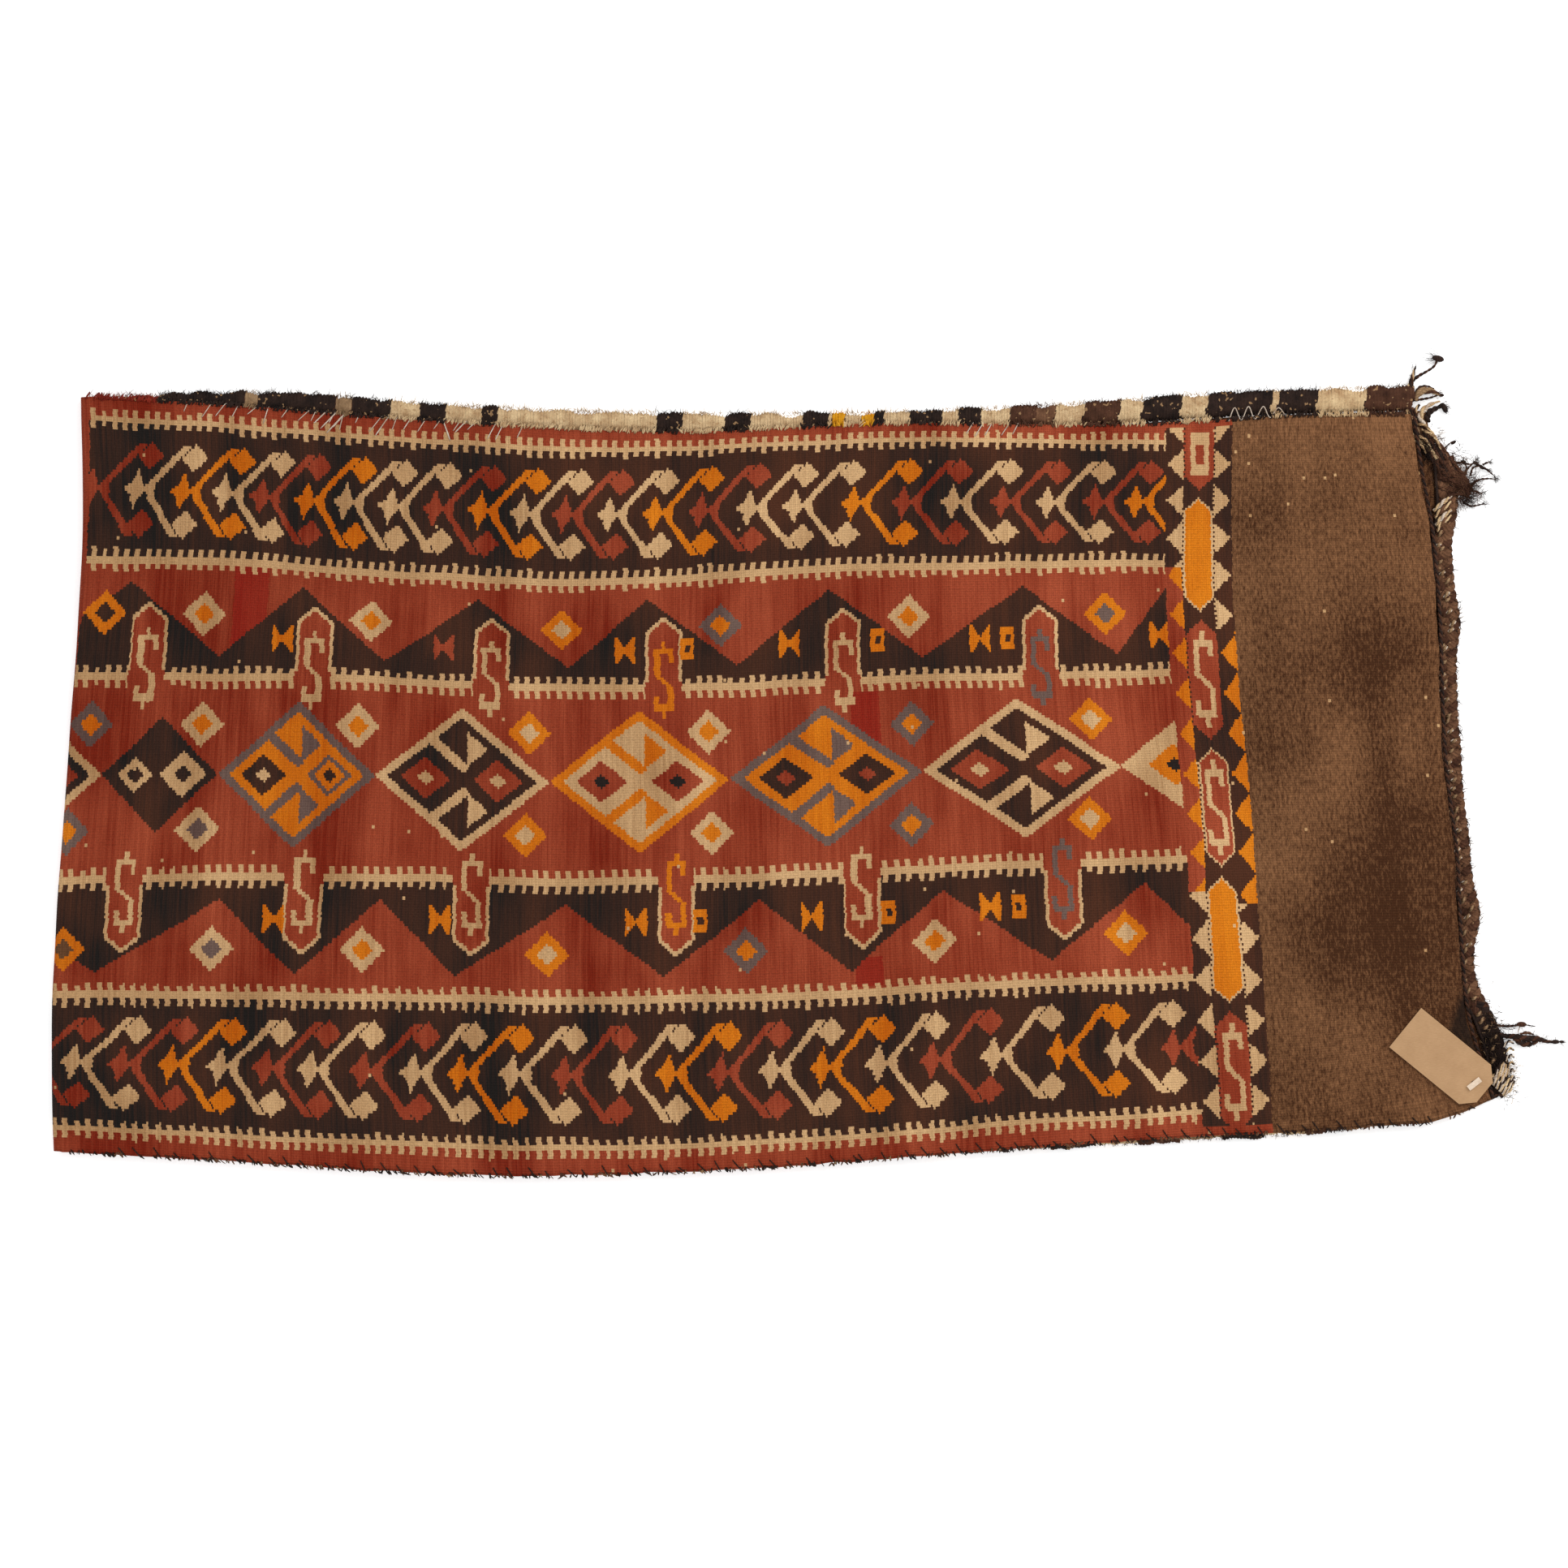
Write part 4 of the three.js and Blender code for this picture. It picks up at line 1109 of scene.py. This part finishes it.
def spray(bundle, centre, spread, heading, turn, count, longest, yarn, radius=0.22, curl=0.4, droop=0.0):
    """Loose hairs from round a point, that fan out by turn either side of a heading."""
    base = np.array(centre, float) + rng.normal(0, 1, (count, 3)) * np.array(spread)
    base[:, 2] = np.maximum(base[:, 2], 0.4)
    way = np.arctan2(heading[1], heading[0]) + rng.normal(0, turn, count)
    heading = np.stack([np.cos(way), np.sin(way), rng.normal(0, 0.12, count)], -1)
    radii = radius * np.array([1, 0.9, 0.75, 0.55, 0.3]) * rng.uniform(0.7, 1.2, (count, 1))
    bundle.lay(wild_hairs(base, heading, longest * rng.uniform(0.35, 1, count), curl, 5, droop), radii,
        YARN[yarn], 4)


def far_corner(finish):
    """At the far corner the back's warp ends leave the braid in four plaits, the last one ending in a tuft."""
    pieces = []

    first = Bundle()
    lock(first, [(476, 286, 4.6), (477.6, 300, 3.6), (480, 310, 2.6), (482.5, 317.5, 1.6)], 3.2, 2.2, 0.5,
        ["soot", "cream", "umber"], 13)
    lock(first, [(480, 306, 2.6), (484.5, 309.4, 2.4), (491, 313, 2.2), (497.7, 318, 2.0),
        (499.6, 322, 2.0)], 1.5, 1.0, 0.9, ["soot", "umber"], 8)
    blob(first, (500.3, 323.4, 2.4), 3.9, "soot", (1, -0.25, 0))
    spray(first, (500, 323.5, 2.2), (2, 1.4, 0.6), (-1, 0.1), 0.35, 26, 15, "soot", 0.13, 0.15)
    spray(first, (481, 312, 2.0), (1, 4, 0.6), (0, 1), 0.8, 22, 6, "soot", 0.16)
    pieces.append(first.piece("far_corner_plait_1", finish, "goat_hair", "left_corner_plait_1"))

    second = Bundle()
    lock(second, [(480.5, 290, 4.6), (483.5, 295, 4.0), (489, 297.6, 3.4), (496, 297, 3.0), (502, 294, 2.4)],
        2.6, 3.0, 0.9, ["olive", "umber", "olive"], 22)
    lock(second, [(481, 294, 4.4), (485, 300.2, 3.6), (491, 301.2, 3.2), (497, 299, 2.8)], 1.0, 1.0, 0.6,
        ["soot", "umber"], 8)
    lock(second, [(479, 289.5, 4.4), (487, 290.6, 3.8), (495, 292.2, 3.2), (500.6, 294.2, 2.6)], 1.2, 1.0,
        0.6, ["soot", "umber"], 8)
    blob(second, (502.8, 294, 2.2), 1.9, "soot")
    spray(second, (499, 295, 2.4), (2.5, 1.5, 0.6), (1, 0), 0.8, 26, 4.5, "umber", 0.16)
    pieces.append(second.piece("far_corner_plait_2", finish, "goat_hair", "left_corner_plait_2"))

    third = Bundle()
    lock(third, [(487.6, 270, 4.2), (485.6, 277, 4.2), (489.2, 283, 3.8), (496.6, 287.6, 3.2),
        (502, 289, 2.6)], 2.6, 2.2, 0.7, ["cotton", "cream"], 14)
    lock(third, [(482.5, 274, 4.6), (481.5, 281, 4.6), (485, 286.4, 4.2)], 1.6, 1.6, 1.0,
        ["soot", "cream", "umber"], 10)
    lock(third, [(491.6, 272.8, 2.4), (492.4, 279.4, 2.8), (498, 283.2, 2.6), (503, 285.4, 2.2)], 2.4, 2.4,
        1.4, ["soot", "soot"], 9)
    blob(third, (505.4, 283.6, 2.6), 3.4, "soot", (0.4, -1, 0))
    blob(third, (503, 286.4, 2.2), 1.8, "soot", (1, 0.5, 0))
    spray(third, (506, 283, 2.4), (1.2, 2.2, 0.5), (1, -0.2), 0.8, 34, 4.5, "umber", 0.17)
    pieces.append(third.piece("far_corner_plait_3", finish, "goat_hair", "left_corner_plait_3"))

    fourth = Bundle()
    spine = np.array([(476, 283, 4.8), (480, 272, 4.8), (487, 262, 4.8), (496, 251, 4.6), (504, 240, 4.6),
        (512, 229, 4.4), (521, 220, 4.0)])
    path = curved(spine, 40)
    side, up = square_to(path)
    wide = np.interp(np.linspace(0, 1, 40), (0, 0.35, 0.75, 1), (4.0, 6.0, 8.5, 4.5))
    yarns = ["soot", "cream", "umber", "olive", "soot", "umber", "soot", "brown", "umber"]
    for i, yarn in enumerate(yarns):
        across = (i / 4 - 1) * 0.8 + 0.3 * np.sin(np.linspace(0, 11, 40) + i * 2.1)
        strand = path - side * (wide * across)[:, None] + up * (1.5 * (1 - across**2) - 1.6)[:, None]
        colour = np.full(40, YARN[yarn])
        if yarn in ("cream", "olive"):
            colour[24:] = YARN["umber"]
        fourth.lay(strand[None], np.interp(np.linspace(0, 1, 40), (0, 0.5, 1), (1.2, 1.7, 1.3)),
            colour[None], 8)
    for start, end in (((482, 262), (494, 252)), ((486, 266), (499, 257)), ((480, 257), (490, 247)),
            ((489, 270), (502, 250)), ((481, 270), (491, 268))):
        lock(fourth, [(*start, 6.6), ((start[0] + end[0]) / 2 + 1, (start[1] + end[1]) / 2 + 1, 7.2),
            (*end, 6.4)], 0.9, 1.2, 0.6, ["olive", "cream"], 9)
    lock(fourth, [(501, 247, 5), (506, 252, 4.2), (511.5, 256.4, 3.2), (514, 257.2, 2.6)], 0.9, 0.6, 0.5,
        ["soot", "umber"], 7)
    blob(fourth, (512.6, 256, 2.8), 1.9, "soot", (1, 0.7, 0))
    spray(fourth, (490, 252, 6), (4, 7, 0.8), (0.6, -1), 0.9, 220, 6, "soot", 0.2)
    spray(fourth, (500, 244, 4), (4, 8, 1.2), (0.6, -1), 0.9, 160, 7, "umber", 0.22)
    spray(fourth, (508, 238, 4), (7, 8, 0.8), (0.6, -1), 1.2, 170, 8, "umber", 0.2)
    spray(fourth, (500, 262, 3), (2, 3, 0.8), (1, 0.3), 0.5, 24, 9, "cotton", 0.12)
    pieces.append(fourth.piece("far_corner_plait_4", finish, "goat_hair", "left_corner_plait_4"))

    tuft = Bundle()
    for i in range(26):
        lean = rng.uniform(-1, 1)
        start = np.array([508 + rng.normal(0, 3.6), 230 + rng.normal(0, 8), rng.uniform(2.5, 6)])
        end = np.array([526 + 2 * lean, 216 + 5 * lean, rng.uniform(1.5, 4)])
        lock(tuft, [start, (start + end) / 2 + (1.5, -2.5 * lean, 0.5), end], 1.4, 1.3, 0.8,
            ["umber", "umber"], 9)
    ways = (  # the long wild locks of the tuft
        [(519, 226), (524, 235), (528, 239), (531.6, 242.6)],
        [(514, 240), (520, 239.6), (526.4, 238.6), (531, 240)],
        [(526, 229), (528.6, 236), (534.6, 237), (541, 234)],
        [(532, 238.6), (536.4, 236), (541, 233), (546.4, 228.4)],
        [(527, 222), (532.4, 225.6), (540, 227), (546.6, 226.6)],
        [(525, 217), (531, 216.6), (536, 215)],
        [(520, 208), (526, 205), (532, 205.6), (537.4, 207)],
        [(536, 238), (539, 239.6), (542.4, 240.4)],
        [(521.6, 228), (523, 235.6), (521.4, 241)],
    )
    for way in ways:
        lock(tuft, [(*p, 3.2 - 0.5 * k) for k, p in enumerate(way)], 0.9, 0.85, 0.4, ["soot", "umber"], 7)
        spray(tuft, (*way[-1], 1.6), (1.0, 1.0, 0.4), np.subtract(way[-1], way[-2]), 0.7, 16, 5, "soot", 0.15)
    for place in ((520.6, 240.4), (530.6, 239.2), (535.6, 235.8)):
        blob(tuft, (*place, 2.6), 1.9, "soot", (1, -0.4, 0))
    spray(tuft, (524, 219, 3), (4, 5, 1), (1, 0.1), 0.9, 260, 11, "umber", 0.17, 0.6)
    spray(tuft, (514, 227, 4), (4, 8, 1.5), (0.6, -1), 0.8, 200, 8, "brown", 0.24)
    spray(tuft, (518, 213, 3), (2.5, 4, 1), (0.8, -1), 0.7, 110, 7, "umber", 0.22)
    spray(tuft, (516, 250, 3), (2, 2, 0.5), (1, 0.25), 0.3, 12, 15, "soot", 0.1, 0.3)
    spray(tuft, (522, 211, 3), (3, 3, 1), (1, -0.3), 0.8, 80, 9, "soot", 0.17, 0.6)
    for i in range(4):  # pale floats over the start of the braid
        y = 210 - 5.6 * i + rng.normal(0, 0.6)
        lock(tuft, [(496 + 0.9 * i, y - 9, 4.8), (503, y - 2.5, 5.8), (510.6, y + 3.6, 5.2)], 1.3, 2.0, 1.0,
            ["cream", "brown"] if i % 2 else ["cream", "cotton"], 12)
    pieces.append(tuft.piece("far_corner_tuft", finish, "goat_hair", "left_corner_tuft"))
    return pieces


def near_corner(finish):
    """Two knotted plaits and a pale fringe at the near corner."""
    first = Bundle()
    lock(first, [(541, -206, 4.2), (546.5, -211, 3.4), (556.8, -212.7, 2.2), (566.8, -211.4, 2.2),
        (578.6, -212.9, 1.4)], 1.3, 0.95, 0.35, ["soot", "umber"], 7)
    blob(first, (567.4, -211.2, 2.2), 3.2, "umber", (1, -0.05, 0))
    lock(first, [(566, -213, 2.4), (564.6, -217, 2.6), (565.4, -220.6, 2.8)], 0.35, 0.3, 0.25,
        ["olive", "olive"], 7)
    spray(first, (556, -212.4, 2), (12, 1.0, 0.5), (1, 0), 0.9, 70, 4, "umber", 0.14)
    plait_1 = first.piece("near_corner_plait_1", finish, "goat_hair", "right_corner_plait_1")

    second = Bundle()
    lock(second, [(549, -219.6, 4.4), (556, -220.6, 3.6), (563, -221, 3.2), (570, -222.4, 3.6),
        (580, -222.6, 2.8), (588, -225, 2.2), (596, -225.2, 2.0)], 1.6, 2.6, 0.8, ["soot", "umber", "soot"], 10)
    lock(second, [(561, -222.4, 3), (567, -226.4, 3.2), (574, -227, 3.0), (580.4, -225, 2.6)], 1.6, 2.4, 1.0,
        ["umber", "soot"], 9)
    lock(second, [(566, -219, 3), (571, -217.8, 3), (577, -219.4, 2.8)], 0.9, 1.3, 0.7, ["umber", "brown"], 8)
    blob(second, (594.4, -225.2, 2.6), 2.7, "soot")
    blob(second, (599.6, -225.2, 1.8), 1.6, "soot")
    spray(second, (572, -223, 3), (7, 2, 0.8), (1, 0), 1.0, 120, 5, "umber", 0.16)
    spray(second, (599, -225.2, 1.8), (1, 0.6, 0.4), (1, 0), 0.4, 14, 6, "soot", 0.14)
    plait_2 = second.piece("near_corner_plait_2", finish, "goat_hair", "right_corner_plait_2")

    tuft = Bundle()
    for i in range(15):  # slanting cream and dark locks over the braid's end
        slide = i / 12
        foot = np.array([541 + 11 * slide + rng.normal(0, 0.6), -258 - 9 * slide])
        head = foot + (12 - 3 * slide + rng.normal(0, 0.7), 19 - 7 * slide + rng.normal(0, 1.5))
        yarns = (["cream", "cotton"], ["soot", "soot"], ["cotton", "cream"])[i % 3]
        lock(tuft, [(*foot, 5.4), (*((foot + head) / 2 + (0.4, 0.5)), 6.4), (*head, 4.8)], 1.4, 1.9, 0.9,
            yarns, 13)
    for i in range(6):
        y = -226 - 5.6 * i
        lock(tuft, [(552 + 0.9 * i, y - 3, 5.4), (556.6 + 0.5 * i, y + 1.5, 5.2),
            (561 + 0.2 * i, y - 0.5, 2.6)], 0.9, 1.1, 0.7,
            ["soot", "cream"] if i % 2 else ["cotton", "soot"], 7)
    lock(tuft, [(531, -272.6, 4), (540, -271, 4.4), (549, -267.6, 4.2), (558.6, -264.4, 3.0)], 1.4, 1.4, 0.8,
        ["soot", "umber"], 8)
    spray(tuft, (554, -258, 4), (5, 8, 1), (0.9, -0.5), 0.9, 130, 6, "soot", 0.17)
    spray(tuft, (558, -250, 4), (3, 9, 1), (1, -0.3), 0.8, 90, 7, "cream", 0.15)
    spray(tuft, (543, -228, 5), (5, 12, 0.8), (0.6, -1), 0.9, 420, 7, "soot", 0.24)
    spray(tuft, (541, -222, 5.6), (5, 14, 0.6), (0.8, -1), 1.0, 45, 4, "olive", 0.24)
    fringe = tuft.piece("near_corner_fringe", finish, "goat_hair", "right_corner_tuft")
    return [plait_1, plait_2, fringe]


def build_yarn_work():
    """Everything made of yarn. Returns the pieces that lie on the cloth's edges."""
    wool = yarn_finish("wrapping_wool", 2.0, 4.0, 0.33)
    hair = yarn_finish("goat_hair", 380.0, 2.0, 0.26)
    plied = yarn_finish("plaited_ends", 420.0, 2.0)
    cotton = yarn_finish("white_cotton", 700.0, 2.0)
    pieces = [far_binding(wool), near_binding(wool), mouth_braid(hair), front_cord(plied)]
    pieces += [far_stitches(cotton), repair_stitch(cotton), near_stitches(plied)]
    return pieces + far_corner(plied) + near_corner(plied)


yarn_work = build_yarn_work()

# ---------------------------------------------------------------- tag

for node, finish in (("tag", card_finish()), ("tag_fastener", nylon_finish())):
    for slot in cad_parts[node].material_slots:
        slot.material = finish

# ---------------------------------------------------------------- floor


def floor_piece():
    side = 6000
    points = np.array([(-side, -side, 0), (side, -side, 0), (side, side, 0), (-side, side, 0)], float)
    points[:, 2] = -0.02
    m = Finish("pale_floor")
    material = m.surface(opaque((0.9, 0.9, 0.9)), 0.8,
        **{"Emission Color": (1, 1, 1, 1), "Emission Strength": 0.35})
    return make_mesh("floor", points, np.array([(0, 1, 2, 3)]), material, smooth=False)


floor = floor_piece()
